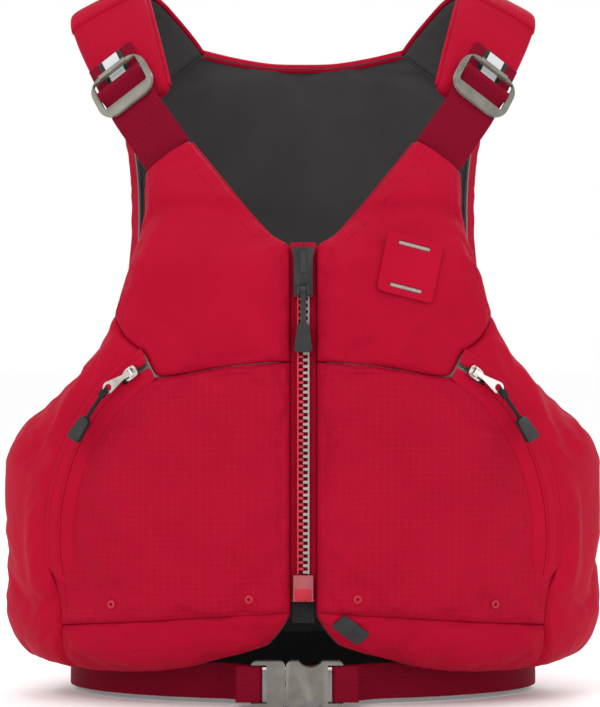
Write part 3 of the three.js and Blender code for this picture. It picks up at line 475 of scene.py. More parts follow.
def cloth(name, color, light, rough, grid=None, grid_strength=0.5, weave=0.0011, sheen=0.03, crease=0.0011,
          tint=(0.8, 0.03, 0.08, 1)):
    """Woven nylon: threads, a slow change of shade, soft creases and, where grid is set, ripstop lines."""
    n = Nodes(name)
    p, o = n.pattern(), n.place()
    x, y = n.xy(p)
    threads = n.math("MULTIPLY", wave(n, x, weave), wave(n, y, weave))
    slow, fine = n.noise(o, 22.0, 3.0), n.noise(o, 700.0, 2.0)
    shade = n.math("ADD", n.math("MULTIPLY", slow, 0.6), n.math("MULTIPLY", fine, 0.3))
    base = n.mix(n.ramp(shade, 0.25, 0.75), color, light)
    height = n.math("MULTIPLY_ADD", threads, 0.5, n.math("MULTIPLY", fine, 0.3))
    if grid:
        wander = n.math("MULTIPLY", n.math("SUBTRACT", n.noise(p, 18.0, 1.0), 0.5), 0.0012)
        net = n.math("MAXIMUM", lines(n, x, grid, 0.0007, wander), lines(n, y, grid * 0.86, 0.0007, wander))
        patchy = n.math("MULTIPLY", net, n.ramp(n.noise(p, 60.0, 2.0), 0.35, 0.6, 0.25, 1.0))
        base = n.mix(n.math("MULTIPLY", patchy, grid_strength), base, paler(light, 1.9, 0.015))
        height = n.math("ADD", height, n.math("MULTIPLY", patchy, 1.2))
    folds = n.add("ShaderNodeTexNoise", i_Scale=1.0, i_Detail=2.0, i_Distortion=0.6)
    stretched = n.add("ShaderNodeVectorMath", operation="MULTIPLY", n_0=o, n_1=(55.0, 55.0, 34.0))
    n.put(folds.inputs["Vector"], stretched.outputs[0])
    soft = n.bump(folds.outputs["Fac"], crease, 1.0)
    gloss = n.ramp(fine, 0.2, 0.8, rough - 0.06, rough + 0.08)
    return n.done(base, gloss, n.bump(height, 0.00018, 0.7, soft),
                  Sheen_Weight=sheen, Sheen_Roughness=0.45, Sheen_Tint=tint, Specular_IOR_Level=0.04)


def webbing(name, dark, light, rib=0.0014, rough=0.62):
    """Ribbed tape: ribs run along it (pattern y), crossed by the weft. Its colour is darker in the grooves of
    the weave, which is painted shade, over a random grain.
    """
    n = Nodes(name)
    p, o = n.pattern(), n.place()
    x, y = n.xy(p)
    ribs = wave(n, x, rib)
    shift = n.math("MULTIPLY", n.math("ROUND", n.math("DIVIDE", x, rib)), rib * 0.5)
    weft = wave(n, n.math("ADD", y, shift), rib * 1.5)
    height = n.math("MULTIPLY_ADD", ribs, 0.7, n.math("MULTIPLY", weft, 0.5))
    grain = n.noise(o, 480.0, 2.0)
    # painted shade: the rib and weft height darkens the colour in the grooves; the grain adds random tone
    shade = n.math("MULTIPLY_ADD", height, 0.7, n.math("MULTIPLY", grain, 0.35))
    base = n.mix(n.ramp(shade, 0.2, 1.05), dark, light)
    return n.done(base, rough, n.bump(height, 0.00035, 0.8), Specular_IOR_Level=0.05)


def plastic(name, color, light, rough, grain=900.0, depth=0.00006, metal=0.0, **shader):
    """Moulded plastic or metal with a fine texture, handling marks and paler worn edges."""
    n = Nodes(name)
    o = n.place()
    fine, slow, scuff = n.noise(o, grain, 3.0), n.noise(o, 90.0, 4.0), n.noise(o, 260.0, 5.0, 0.7)
    base = n.mix(n.ramp(slow, 0.35, 0.7), color, light)
    worn = n.ramp(n.add("ShaderNodeNewGeometry").outputs["Pointiness"], 0.53, 0.62)
    base = n.mix(n.math("MULTIPLY", worn, 0.35), base, paler(light, 1.7, 0.02))
    gloss = n.math("ADD", n.ramp(scuff, 0.45, 0.7, rough - 0.06, rough + 0.1), n.math("MULTIPLY", worn, 0.05))
    return n.done(base, gloss, n.bump(fine, depth, 0.6), Metallic=metal, **shader)


# Each material's two colours are its dark and light shade, in linear red, green and blue.
RED = cloth("red_nylon", (0.305, 0.0018, 0.017, 1), (0.365, 0.0030, 0.022, 1), 0.6,
            grid=0.0047, grid_strength=0.05)
RED_SIDE = cloth("red_nylon_side", (0.325, 0.0020, 0.018, 1), (0.385, 0.0032, 0.023, 1), 0.58, crease=0.0015)
RIPSTOP = cloth("red_ripstop", (0.285, 0.0020, 0.016, 1), (0.350, 0.0034, 0.022, 1), 0.62,
                grid=0.0047, grid_strength=0.13)
LINING = cloth("grey_lining", (0.036, 0.034, 0.034, 1), (0.054, 0.051, 0.051, 1), 0.75,
               weave=0.0009, sheen=0.1, crease=0.0014, tint=(0.6, 0.6, 0.6, 1))
PIPING = cloth("grey_piping", (0.16, 0.155, 0.15, 1), (0.22, 0.215, 0.21, 1), 0.6, crease=0.0002)
RED_WEB = webbing("crimson_webbing", (0.10, 0.0008, 0.008, 1), (0.25, 0.0022, 0.020, 1))
STONE_WEB = webbing("stone_webbing", (0.20, 0.16, 0.14, 1), (0.50, 0.43, 0.38, 1), rib=0.0011)
TAPE_RED = webbing("red_tape", (0.31, 0.002, 0.016, 1), (0.43, 0.004, 0.026, 1), rib=0.0012)
TAPE_BLACK = webbing("black_tape", (0.008, 0.008, 0.008, 1), (0.03, 0.03, 0.03, 1), rib=0.0012)
CORD = webbing("black_cord", (0.006, 0.006, 0.007, 1), (0.035, 0.035, 0.037, 1), rib=0.0009)
THREAD = plastic("red_thread", (0.29, 0.003, 0.020, 1), (0.40, 0.006, 0.03, 1), 0.6, Specular_IOR_Level=0.06)
BLACK = plastic("black_plastic", (0.010, 0.010, 0.011, 1), (0.018, 0.018, 0.020, 1), 0.36,
                Specular_IOR_Level=0.35)
RUBBER = plastic("grip_rubber", (0.014, 0.014, 0.015, 1), (0.024, 0.024, 0.026, 1), 0.55,
                 grain=1400.0, depth=0.0001, Specular_IOR_Level=0.25)
STONE = plastic("satin_stone_plastic", (0.105, 0.098, 0.08, 1), (0.165, 0.155, 0.13, 1), 0.34,
                Coat_Weight=0.2, Coat_Roughness=0.25)
BUCKLE = plastic("buckle_plastic", (0.12, 0.112, 0.098, 1), (0.165, 0.155, 0.135, 1), 0.4,
                 grain=1300.0, depth=0.00009)
NICKEL = plastic("brushed_nickel", (0.42, 0.40, 0.37, 1), (0.62, 0.60, 0.56, 1), 0.27, grain=600.0, metal=1.0)
TEETH_GREY = plastic("teeth_grey", (0.19, 0.175, 0.165, 1), (0.27, 0.25, 0.235, 1), 0.4)
TEETH_RED = plastic("teeth_red", (0.36, 0.004, 0.014, 1), (0.50, 0.012, 0.03, 1), 0.38)
RED_MOULD = plastic("red_moulding", (0.33, 0.003, 0.018, 1), (0.45, 0.008, 0.03, 1), 0.4,
                    Specular_IOR_Level=0.3)
CLEAR_RED = plastic("clear_red_film", (0.34, 0.045, 0.065, 1), (0.42, 0.075, 0.09, 1), 0.3,
                    Transmission_Weight=0.3)
FOAM = plastic("foam_sheet", (0.62, 0.60, 0.54, 1), (0.72, 0.70, 0.64, 1), 0.85, grain=420.0, depth=0.0004)


def reflective():
    """Silver glass-bead tape with black edges."""
    n = Nodes("reflective_tape")
    x, _ = n.xy(n.pattern())
    beads = n.add("ShaderNodeTexVoronoi", i_Scale=2600.0)
    n.put(beads.inputs["Vector"], n.place())
    edge = n.ramp(n.math("ABSOLUTE", x), 0.0062, 0.0066)
    silver = n.mix(beads.outputs["Distance"], (0.50, 0.51, 0.52, 1), (0.66, 0.67, 0.68, 1))
    base = n.mix(edge, silver, (0.012, 0.012, 0.012, 1))
    return n.done(base, 0.3, n.bump(beads.outputs["Distance"], 0.00005, 0.6), Metallic=0.35)


REFLECTIVE = reflective()


# ------------------------------------------------------------------ cloth pieces
SEAM_DIP, SEAM_WIDTH, DEEPEST_DIP = 2.1, 2.4, 2.3
CLOTH_THICK = 0.0009  # metres


class Patch:
    """Cloth on a panel's outside, cut along curves of the pattern, with walls down to the lining."""

    def __init__(self, name, side, body, curves, spans, height, material, walls=(), seams=(), lift=CLOTH_LIFT,
                 surface=torso, puff=3.5, floor=0.0, pin_more=None, slot="red_cloth", tuck=5.0):
        self.name, self.side, self.body = name, side, body
        self.material, self.walls, self.slot = material, walls, slot
        self.sink = 2.0  # how far inwards the simulation may carry it
        us, vs = steps(spans[0]), steps(spans[1])
        self.p = coons(*curves, us, vs)
        p = self.p
        edge = np.minimum.reduce([distance(c, p) for c in curves])
        dip = sum(SEAM_DIP * np.exp(-((distance(c, p) / SEAM_WIDTH) ** 2)) for c in seams) if seams else 0
        self.h = height(p) + lift * smooth(edge, -2, 5) - np.minimum(dip, DEEPEST_DIP)
        self.crown = puff * smooth(edge, 2, 26)
        self.pin = np.where(edge < 1.5, 1.0, 0.0)
        if pin_more is not None:
            self.pin = np.maximum(self.pin, pin_more(p))
        self.surface, self.floor, self.cap, self.tuck = surface, floor, puff, tuck
        self.normals = normal(surface, p[..., 0], p[..., 1])
        self.points = surface(p[..., 0], p[..., 1]) + self.normals * self.h[..., None]
        self.pattern = np.stack([p[..., 0] * CLOTH_PER_DEGREE, p[..., 1]], -1)

    def start(self):
        """The sheet that the simulation works on, a little wavy so that the two sides don't match."""
        rows, columns = self.p.shape[:2]
        seed = rng.uniform(0, 100, 3)
        ripple = np.sin(self.points[..., 0] / 9 + seed[0]) * np.cos(self.points[..., 2] / 13 + seed[1]) * 0.25
        points = self.points + self.normals * (ripple * (1 - self.pin))[..., None]
        faces = grid_faces(rows, columns)
        a, b, c = (points.reshape(-1, 3)[i] for i in faces[len(faces) // 2][:3])
        self.flip = np.dot(np.cross(b - a, c - b), self.normals.reshape(-1, 3)[faces[len(faces) // 2][0]]) < 0
        self.faces = [tuple(reversed(f)) for f in faces] if self.flip else faces
        obj = mesh_object(self.name + "_sim", points.reshape(-1, 3), self.faces, self.material)
        group = obj.vertex_groups.new(name="pin")
        for i, w in enumerate(self.pin.ravel()):
            group.add([i], float(w), "REPLACE")
        self.sim = obj
        return obj

    def settle(self, moved=None):
        if moved is None:
            self.points = self.points + self.normals * (self.crown * (1 - self.pin))[..., None]
        else:
            d = moved.reshape(self.points.shape) - self.points
            deep = np.sum(d * self.normals, -1, keepdims=True)
            d = d + self.normals * (np.maximum(deep, -self.sink) - deep)
            far = np.linalg.norm(d, axis=-1, keepdims=True)
            self.points = self.points + d * np.minimum(1, self.cap / np.maximum(far, 1e-6))

    def build(self):
        """The settled sheet with its edges turned down, to the lining where a wall is asked for."""
        rows, columns = self.p.shape[:2]
        points, pattern = list(self.points.reshape(-1, 3)), list(self.pattern.reshape(-1, 2))
        faces = list(self.faces)
        up, across = np.arange(rows) * columns, np.arange(columns)
        loops = {"first": (up, -1), "second": (up + columns - 1, 1),
                 "bottom": (across, 1), "top": ((rows - 1) * columns + across, -1)}
        for wall, (ids, turn) in loops.items():
            p = self.p.reshape(-1, 2)[ids]
            h, n = self.h.ravel()[ids], self.normals.reshape(-1, 3)[ids]
            base = self.surface(p[:, 0], p[:, 1])
            previous = list(ids)
            full = wall in self.walls
            count = 6 if full else 2
            for k in range(1, count + 1):
                t = k / count
                level = h * (1 - t) + self.floor * t if full else h - self.tuck * t
                row = base + n * level[:, None]
                new = list(range(len(points), len(points) + len(ids)))
                points += list(row)
                pattern += [(x * CLOTH_PER_DEGREE, z - (hh - lv)) for (x, z), hh, lv in zip(p, h, level)]
                for j in range(len(ids) - 1):
                    quad = (previous[j], previous[j + 1], new[j + 1], new[j])
                    if (turn < 0) != bool(self.flip):
                        quad = quad[::-1]
                    faces.append(quad)
                previous = new
        obj = mesh_object(self.name, points, faces, self.material, pattern, self.side)
        bm = bmesh.new()
        bm.from_mesh(obj.data)
        bmesh.ops.remove_doubles(bm, verts=bm.verts, dist=1e-5)
        bmesh.ops.recalc_face_normals(bm, faces=bm.faces)
        mirror = [MIRROR[self.side], 1, 1]
        probe = self.points[rows // 2, columns // 2] * mirror * MM
        out = self.normals[rows // 2, columns // 2] * mirror
        near = min(bm.faces, key=lambda f: (f.calc_center_median() - Vector(probe)).length)
        if near.normal.dot(Vector(out)) < 0:
            bmesh.ops.reverse_faces(bm, faces=bm.faces)
        bm.to_mesh(obj.data)
        bm.free()
        obj.data.polygons.foreach_set("use_smooth", [True] * len(obj.data.polygons))
        thick = obj.modifiers.new("thickness", "SOLIDIFY")
        thick.thickness, thick.offset = CLOTH_THICK, -1
        finer = obj.modifiers.new("finer", "SUBSURF")
        finer.levels = finer.render_levels = 1
        self.obj = obj
        return obj

    def tree(self):
        return BVHTree.FromPolygons([Vector(p) for p in self.points.reshape(-1, 3)], self.faces)


def simulate(patches, pressure=3.2, frames=20):
    """Puffs the sheets up together, pinned along their seams."""
    for patch in patches:
        obj = patch.start()
        sheet = obj.modifiers.new("cloth", "CLOTH").settings
        sheet.quality = 4
        sheet.mass = 0.25
        sheet.tension_stiffness = sheet.compression_stiffness = 14
        sheet.shear_stiffness = 6
        sheet.bending_stiffness = 0.25
        sheet.air_damping = 2
        sheet.vertex_group_mass = "pin"
        sheet.use_pressure = True
        sheet.uniform_pressure_force = pressure
        sheet.shrink_min = -0.035
        sheet.effector_weights.gravity = 0
    for f in range(1, frames + 1):
        SCENE.frame_set(f)
    graph = bpy.context.evaluated_depsgraph_get()
    for patch in patches:
        mesh = patch.sim.evaluated_get(graph).data
        co = np.zeros(len(mesh.vertices) * 3, np.float32)
        mesh.vertices.foreach_get("co", co)
        patch.settle(co.reshape(-1, 3).astype(float) / MM)
    for patch in patches:
        bpy.data.objects.remove(patch.sim)
    SCENE.frame_set(1)


def between(rows, s, m):
    """The row at length m, where s is the length at each row."""
    return np.array([np.interp(m, s, rows[:, i]) for i in range(3)])


CAPSULE = ((-0.5, 0.35), (-0.3, 1.0), (0.3, 1.0), (0.5, 0.35))  # shares of a stitch's length and radius


def sew(name, side, body, tracks, material=THREAD, pitch=3.1, length=2.2, radius=0.24, tree=None,
        across=False):
    """Rows of stitches as small capsules. A track is points and outward normals."""
    points, faces = [], []
    ring = np.linspace(0, 2 * np.pi, 5, endpoint=False)
    for line, outs in tracks:
        s = along_lengths(line)
        count = max(int(s[-1] / pitch), 1)
        for k in range(count):
            m = (k + 0.5) * s[-1] / count
            c = between(line, s, m)
            out = unit(between(outs, s, m))
            along = unit(between(line, s, min(m + 0.5, s[-1])) - between(line, s, max(m - 0.5, 0)))
            if tree is not None:
                hit = tree.ray_cast(Vector(c + out * 9), Vector(-out), 24)
                if hit[0] is not None:
                    c = np.array(hit[0])
            side_way = unit(np.cross(along, out))
            if across:
                along, side_way = side_way, along
            c = c + out * radius * 0.35
            start = len(points)
            for t, r in CAPSULE:
                for q in ring:
                    spoke = side_way * math.cos(q) + out * math.sin(q)
                    points.append(c + along * t * length + spoke * r * radius)
            for i in range(3):
                for j in range(5):
                    a, b = start + i * 5 + j, start + i * 5 + (j + 1) % 5
                    faces.append((a, b, b + 5, a + 5))
            faces.append(tuple(start + j for j in range(4, -1, -1)))
            faces.append(tuple(start + 15 + j for j in range(5)))
    place(mesh_object(name, points, faces, material, None, side), body)


def track(curve, height, inset=0.0, lift=CLOTH_LIFT):
    """A stitch track along a pattern curve, moved by inset mm across it."""
    m = metric(at(curve, np.linspace(0, 1, 120)))
    d = unit(np.gradient(m, axis=0))
    shift = np.stack([-d[:, 1], d[:, 0]], -1) * inset
    p = (m + shift) / np.array([MM_PER_DEGREE, 1.0])
    return off(torso, p[:, 0], p[:, 1], height(p) + lift), normal(torso, p[:, 0], p[:, 1])


SHARP = 35 * D  # moulded edges at least this sharp are rounded
WELD = 1e-6


def refine(name, node, body, material, slot, bevel=0.35, segments=2, merge=True):
    """A CAD piece of the right shape, with its moulded edges rounded."""
    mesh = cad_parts[node].data.copy()
    mesh.name = name
    bm = bmesh.new()
    bm.from_mesh(mesh)
    bmesh.ops.remove_doubles(bm, verts=bm.verts, dist=WELD)
    if merge:
        bmesh.ops.dissolve_limit(bm, angle_limit=2 * D, verts=bm.verts, edges=bm.edges)
    bm.to_mesh(mesh)
    bm.free()
    mesh.materials.clear()
    mesh.materials.append(material)
    obj = bpy.data.objects.new(name, mesh)
    SCENE.collection.objects.link(obj)
    mesh.polygons.foreach_set("use_smooth", [True] * len(mesh.polygons))
    co = np.zeros(len(mesh.vertices) * 3, np.float32)
    mesh.vertices.foreach_get("co", co)
    co = co.reshape(-1, 3)[:, [0, 2, 1]]
    mesh.attributes.new("pattern", "FLOAT_VECTOR", "POINT").data.foreach_set("vector", co.ravel())
    if bevel:
        m = obj.modifiers.new("edges", "BEVEL")
        m.width, m.segments, m.limit_method, m.angle_limit = bevel * MM, segments, "ANGLE", SHARP
        m.use_clamp_overlap = True
        m = obj.modifiers.new("normals", "WEIGHTED_NORMAL")
        m.keep_sharp = True
    return place(obj, body, node)


def rim(curve, height, count):
    """Points that stand off the torso along a pattern curve."""
    p = at(curve, np.linspace(0, 1, count))
    return off(torso, p[:, 0], p[:, 1], np.full(count, height))


def piping(name, side, body, line, radius, material=PIPING):
    """A round welt along a line of points."""
    d = unit(np.gradient(line, axis=0))
    ref = unit(np.cross(d, np.array([0.3, 0.2, 0.93])))
    up = np.cross(ref, d)
    loops = []
    for q in np.linspace(0, 2 * np.pi, 10, endpoint=False):
        loops.append(line + (ref * math.cos(q) + up * math.sin(q)) * radius)
    pattern = np.stack([np.tile(np.arange(10) * 0.6, len(line)), np.repeat(along_lengths(line), 10)], -1)
    place(swept(name, np.array(loops).transpose(1, 0, 2), material, side, pattern), body)


# ------------------------------------------------------------------ front panels
def near_zip(p):
    return 1 - smooth(arc_away(p[..., 0], p[..., 1], FRONT_THICK), 13, 22)


LASH_AT, LASH_TURN, LASH_THICK, LASH_SLOT = [21.2, down(206)], -14 * D, 2.2, 15


def under_lash(p):
    """1 where the yoke lies flat under the lash tab, and beside the zip."""
    d = metric(p - np.array(LASH_AT)) * [1.22, 1]
    c, s = math.cos(LASH_TURN), math.sin(LASH_TURN)
    x, z = d[..., 0] * c + d[..., 1] * s, -d[..., 0] * s + d[..., 1] * c
    out = np.maximum(np.abs(x) - 20, np.abs(z) - 21)
    return np.maximum(1 - smooth(out, 0, 9), near_zip(p))


EYELETS = [10.6, rise(56)], [40, rise(50)]


def round_eyelets(p):
    """1 where the pocket lies flat round its drain eyelets, and beside the zip."""
    d = np.minimum(*(np.linalg.norm(metric(p - np.array(c)), axis=-1) for c in EYELETS))
    return np.maximum(1 - smooth(d, 4, 9), near_zip(p))


def front_patches(side):
    def make(name, curves, spans, material, **more):
        return Patch(f"{name}_{side}", side, f"front_{side}", curves, spans, front_height, material, **more)

    yoke_centre = chain(centre_line[centre_line[:, 1] >= POCKET_HIGH], neckline)
    yoke_curves = (yoke_seam, strap_end, yoke_centre, armhole_high)
    pocket_side = chain(tail[::-1], tail_in[::-1], zip_in[::-1])
    pocket_curves = (pocket_foot, yoke_in, spline([[CENTRE, POCKET_LOW], [CENTRE, POCKET_HIGH]]), pocket_side)
    side_inner = chain(band_side, tail[::-1], tail_out[::-1], zip_out[::-1], yoke_out)
    side_curves = (hem_outer, armhole_low[::-1], side_inner, side_line)
    band_curves = (hem_inner, pocket_foot, centre_foot, band_side)
    return dict(
        yoke=make("front_yoke", yoke_curves, (34, 46), RED, walls=("first", "second", "top"),
                  seams=(yoke_seam,), puff=3.0, pin_more=under_lash if side == "left" else near_zip),
        pocket=make("front_pocket", pocket_curves, (44, 48), RIPSTOP, walls=("first",),
                    seams=(yoke_in, pocket_foot, tail), lift=2.2, puff=3.2, pin_more=round_eyelets),
        flank=make("front_flank", side_curves, (34, 66), RED_SIDE, walls=("second", "bottom", "top"),
                   seams=(yoke_out, tail, band_side), puff=4.5, pin_more=near_zip),
        band=make("front_hem_band", band_curves, (46, 16), RED, walls=("first", "bottom"),
                  seams=(pocket_foot, band_side), puff=2.2),
    )


SIDES = ("left", "right")
fronts = {side: front_patches(side) for side in SIDES}

# ------------------------------------------------------------------ back panel
BACK_SIDE, BACK_HEM, SEAM_Z = 118.0, rise(-18), 128.0
arm_joint, neck_joint = [130, down(83)], [154, down(36)]
NECK_LOW = down(45)


def opposite(c):
    """The same curve on the back's other half."""
    return c * [-1, 1] + [360, 0]


back_armhole = spline([[BACK_SIDE, down(317)], [121, down(285)], [127, down(249)], [132.5, down(207)],
                       [134, down(157)], [133, down(115)], arm_joint])
back_neck = spline([neck_joint, [163, NECK_LOW + 4], [172, NECK_LOW + 0.5], [180, NECK_LOW]])
back_joint = spline([arm_joint, neck_joint])
back_top = chain(back_joint, back_neck, opposite(back_neck)[::-1], opposite(back_joint)[::-1])
back_first = chain(spline([[BACK_SIDE, BACK_HEM], [BACK_SIDE, down(317)]]), back_armhole)
back_bottom = spline([[BACK_SIDE, BACK_HEM], [180, BACK_HEM], [360 - BACK_SIDE, BACK_HEM]])
BACK_EDGES = [(back_first, 0.55, 16), (opposite(back_first), 0.55, 16), (back_bottom, 0.5, 18),
              (back_top, 0.7, 9)]


def back_height(p):
    z = p[..., 1]
    h = np.where(
        z < rise(178), BACK_THICK - 6 + 6 * smooth(z, rise(98), rise(178)),
        BACK_THICK + (PAD_THICK + 2 - BACK_THICK) * smooth(z, down(107), down(67)),
    )
    for curve, share, radius in BACK_EDGES:
        h = h * rounding(share, radius, distance(curve, p))
    return h


low_first = spline([[BACK_SIDE, BACK_HEM], [BACK_SIDE, SEAM_Z]])
high_first = chain(spline([[BACK_SIDE, SEAM_Z], [BACK_SIDE, down(317)]]), back_armhole)
back_seam = spline([[BACK_SIDE, SEAM_Z], [180, SEAM_Z - 6], [360 - BACK_SIDE, SEAM_Z]])
low_curves = (back_bottom, back_seam, low_first, opposite(low_first))
high_curves = (back_seam, back_top, high_first, opposite(high_first))
back_low = Patch("back_lower_panel", "left", "jacket_back", low_curves, (70, 30), back_height, RIPSTOP,
                 walls=("first", "second", "bottom"), seams=(back_seam,), puff=3.0)
back_high = Patch("back_upper_panel", "left", "jacket_back", high_curves, (76, 74), back_height, RED,
                  walls=("first", "second", "top"), seams=(back_seam,), puff=5.0)


# ------------------------------------------------------------------ linings
def inward(p):
    return np.full(p.shape[:-1], 0.9)


front_outline = (hem_line, strap_end, chain(centre_bend, centre_line, neckline), chain(side_line, armhole))
back_outline = (back_bottom, back_top, back_first, opposite(back_first))


def lining(name, side, body, curves, spans, puff, node):
    """The cloth on the body's side, which puffs inwards."""
    patch = Patch(name, side, body, curves, spans, inward, LINING, lift=0.0, puff=puff, slot="grey_lining",
                  tuck=-1.2)
    patch.normals = -patch.normals
    patch.node, patch.sink = node, 0.6
    return patch


linings = []
for side in SIDES:
    name, node = f"front_lining_cloth_{side}", f"front_lining_{side}"
    linings.append(lining(name, side, f"front_{side}", front_outline, (40, 60), 2.0, node))
linings.append(lining("back_lining_cloth", "left", "jacket_back", back_outline, (80, 84), 4.0, "back_lining"))

everything = [p for parts in fronts.values() for p in parts.values()] + [back_low, back_high] + linings
simulate(everything)
for patch in everything:
    obj = patch.build()
    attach(obj, patch.body)
    if patch in linings:
        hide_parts(patch.node)
for side, parts in fronts.items():
    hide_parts(f"front_shell_{side}")
    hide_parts(f"pocket_panel_{side}")
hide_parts("back_shell")
FOAM_BODIES = {"back_foam": "jacket_back", "front_foam_left": "front_left", "front_foam_right": "front_right"}
FOAM_INSET = 3.2
for node, body in FOAM_BODIES.items():
    core = refine(f"{node}_block", node, body, FOAM, "foam", bevel=0, merge=False)
    bm = bmesh.new()
    bm.from_mesh(core.data)
    bm.normal_update()
    for v, away in [(v, v.normal.copy()) for v in bm.verts]:
        v.co -= away * FOAM_INSET * MM
    bm.to_mesh(core.data)
    bm.free()

# ------------------------------------------------------------------ edges and seams
def front_edges(side):
    body = f"front_{side}"
    piping(f"neck_piping_{side}", side, body, rim(neckline, 0.6, 150), 1.2, RED_SIDE)
    piping(f"armhole_piping_{side}", side, body, rim(armhole, 0.4, 150), 1.1)
    yoke_tree, pocket_tree, band_tree = (fronts[side][k].tree() for k in ("yoke", "pocket", "band"))
    yoke_rows = [track(yoke_in, front_height, 2.2), track(yoke_out, front_height, 2.0)]
    sew(f"yoke_stitches_{side}", side, body, yoke_rows, tree=yoke_tree)
    centre_row = track(spline([[CENTRE, 70], [CENTRE, 236]]), front_height, -6.5, 2.2)
    foot_row = track(pocket_foot, front_height, 2.6, 2.2)
    sew(f"pocket_stitches_{side}", side, body, [centre_row, foot_row], tree=pocket_tree)
    band_line = spline([[3.6, 62], [10, 50], [20.5, 44], [31, 41], [43, 36], [55, 31]])
    sew(f"band_stitches_{side}", side, body, [track(band_line, front_height)], tree=band_tree)
    neck_rows = [track(neckline, front_height, -7.0), track(armhole_high, front_height, 7.0)]
    sew(f"neck_stitches_{side}", side, body, neck_rows, tree=yoke_tree)


def pocket_lip(side, way, lap, top):
    """A cloth lip over the pocket zip's tape. The lips part at the slider and close at the zip's foot."""
    section = np.array([(0.0, top - 1.1), (0.0, top - 0.3), (0.6, top), (3.4, top - 0.15), (6.0, top - 0.6),
                        (8.8, 2.2), (11.4, 1.7), (12.3, 1.1), (12.0, 0.3), (9.0, 0.3), (5.0, top - 2.2),
                        (2.0, top - 1.5)])
    turns = np.linspace(ARC["low"] - 6.5, ARC["high"] + 0.5, 110)
    closing = smooth(turns, ARC["low"] - 6.5, ARC["low"] + 2)
    parting = 2.4 * smooth(turns, 51.0, 53.5)
    loops = []
    for t, c, g in zip(turns, closing, parting):
        wide = section[:, 0] + (lap + g) * np.clip(1 - section[:, 0] / 12, 0, 1) ** 1.5
        out = section[:, 1] * (0.55 + 0.45 * c) - 0.4 * (1 - c)
        loops.append(arc_point(np.full(len(wide), t), way * wide * (0.35 + 0.65 * c), out))
    s = np.cumsum(np.full(len(turns), 1.6))
    pattern = np.stack([np.tile(section[:, 0], len(turns)), np.repeat(s, len(section))], -1)
    name = f"pocket_welt_{'outer' if way > 0 else 'inner'}_{side}"
    return swept(name, loops, RED_SIDE, side, pattern, levels=1)


def pocket_zip(side):
    body = f"front_{side}"
    place(pocket_lip(side, -1, 0.4, 2.5), body, f"pocket_zip_tape_{side}")
    place(pocket_lip(side, 1, -1.6, 3.3), body)
    turns = np.linspace(ARC["low"], ARC["high"], 200)
    outs = np.tile(PLANE_OUT, (200, 1))
    sew(f"pocket_coil_{side}", side, body, [(arc_point(turns, 0.0, 0.9), outs)], BLACK, pitch=1.5, length=3.0,
        radius=0.5, across=True)
    rows = [(arc_point(turns, wide, out), outs) for wide, out in ((0.6, 3.3), (-5.5, 1.9), (8.6, 2.2))]
    sew(f"welt_stitches_{side}", side, body, rows)


def pocket_tack(side):
    """Cloth under the foot of the pocket zip, where four pieces meet."""
    levels = np.linspace(74, 102, 15)
    a = np.concatenate([np.linspace(52.6, 59.4, 8), np.linspace(59.4, 52.6, 8)])
    loops = []
    for z in levels:
        h = front_height(np.stack([a, np.full(16, z)], -1)) + np.repeat([-2.1, -4.2], 8)
        loops.append(off(torso, a, z, h))
    pattern = np.stack([np.tile(a * 3, 15), np.repeat(levels, 16)], -1)
    place(swept(f"pocket_tack_{side}", loops, RED_SIDE, side, pattern), f"front_{side}")


for side in SIDES:
    front_edges(side)
    pocket_zip(side)
for side in SIDES:
    pocket_tack(side)
whole_neck = chain(back_neck, opposite(back_neck)[::-1])
piping("back_neck_piping", "left", "jacket_back", rim(whole_neck, 1.6, 160), 3.4, RED_SIDE)
for side in SIDES:
    piping(f"back_armhole_piping_{side}", side, "jacket_back", rim(back_armhole, 0.3, 120), 1.1)
sew("back_stitches", "left", "jacket_back", [track(back_seam, back_height, inset) for inset in (2.4, -2.4)])


# ------------------------------------------------------------------ side gussets
def double_sheet(rows, columns):
    """Faces of a thin closed body from two grids of points, the outer one first."""
    n = rows * columns
    faces = grid_faces(rows, columns) + [tuple(reversed(f)) for f in grid_faces(rows, columns, n)]
    edge = list(range(columns)) + [i * columns + columns - 1 for i in range(1, rows)]
    edge += [(rows - 1) * columns + j for j in range(columns - 2, -1, -1)]
    edge += [i * columns for i in range(rows - 2, 0, -1)]
    return faces + [(edge[k], edge[k - 1], edge[k - 1] + n, edge[k] + n) for k in range(len(edge))]


def gusset(side):
    """The cloth under the arm between front and back, in small waves."""
    u, v = np.meshgrid(np.linspace(0, 1, 16), np.linspace(0, 1, 44))
    low = rise(13) * (1 - u) + (BACK_HEM + 5) * u
    high = (down(329) - 12) * (1 - u) + (down(317) - 6) * u
    a, z = SIDE - 0.6 + (BACK_SIDE - SIDE + 1.2) * u, low + (high - low) * v
    waves = 3.6 + 1.1 * np.sin(z / 8.5 + 1.5 * np.sin(u * 5)) * np.sin(np.pi * u)
    points = np.concatenate([off(torso, a, z, waves + h).reshape(-1, 3) for h in (0.6, -0.6)])
    pattern = np.stack([np.tile((a * 3).ravel(), 2), np.tile(z.ravel(), 2)], -1)
    faces = double_sheet(44, 16)
    cloth_piece = mesh_object(f"gusset_cloth_{side}", points, faces, RED_SIDE, pattern, side, levels=1)
    start, end = (off(torso, np.array(edge), np.array(110.0), np.array(3.0)) * [MIRROR[side], 1, 1] * MM
                  for edge in (SIDE, BACK_SIDE))
    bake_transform(cloth_piece)
    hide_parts(f"side_gusset_{side}")


for side in SIDES:
    gusset(side)

# ------------------------------------------------------------------ shoulder pads
def pad_start(across):
    q = at(back_joint, 1 - np.asarray(across, float))
    lean = (q[..., 1] + 0.5 - down(177)) / (crest(A * np.sin(q[..., 0] * D)) - down(177))
    return np.stack([180 - q[..., 0], np.arcsin(np.clip(lean, -1, 1)) / D], -1)


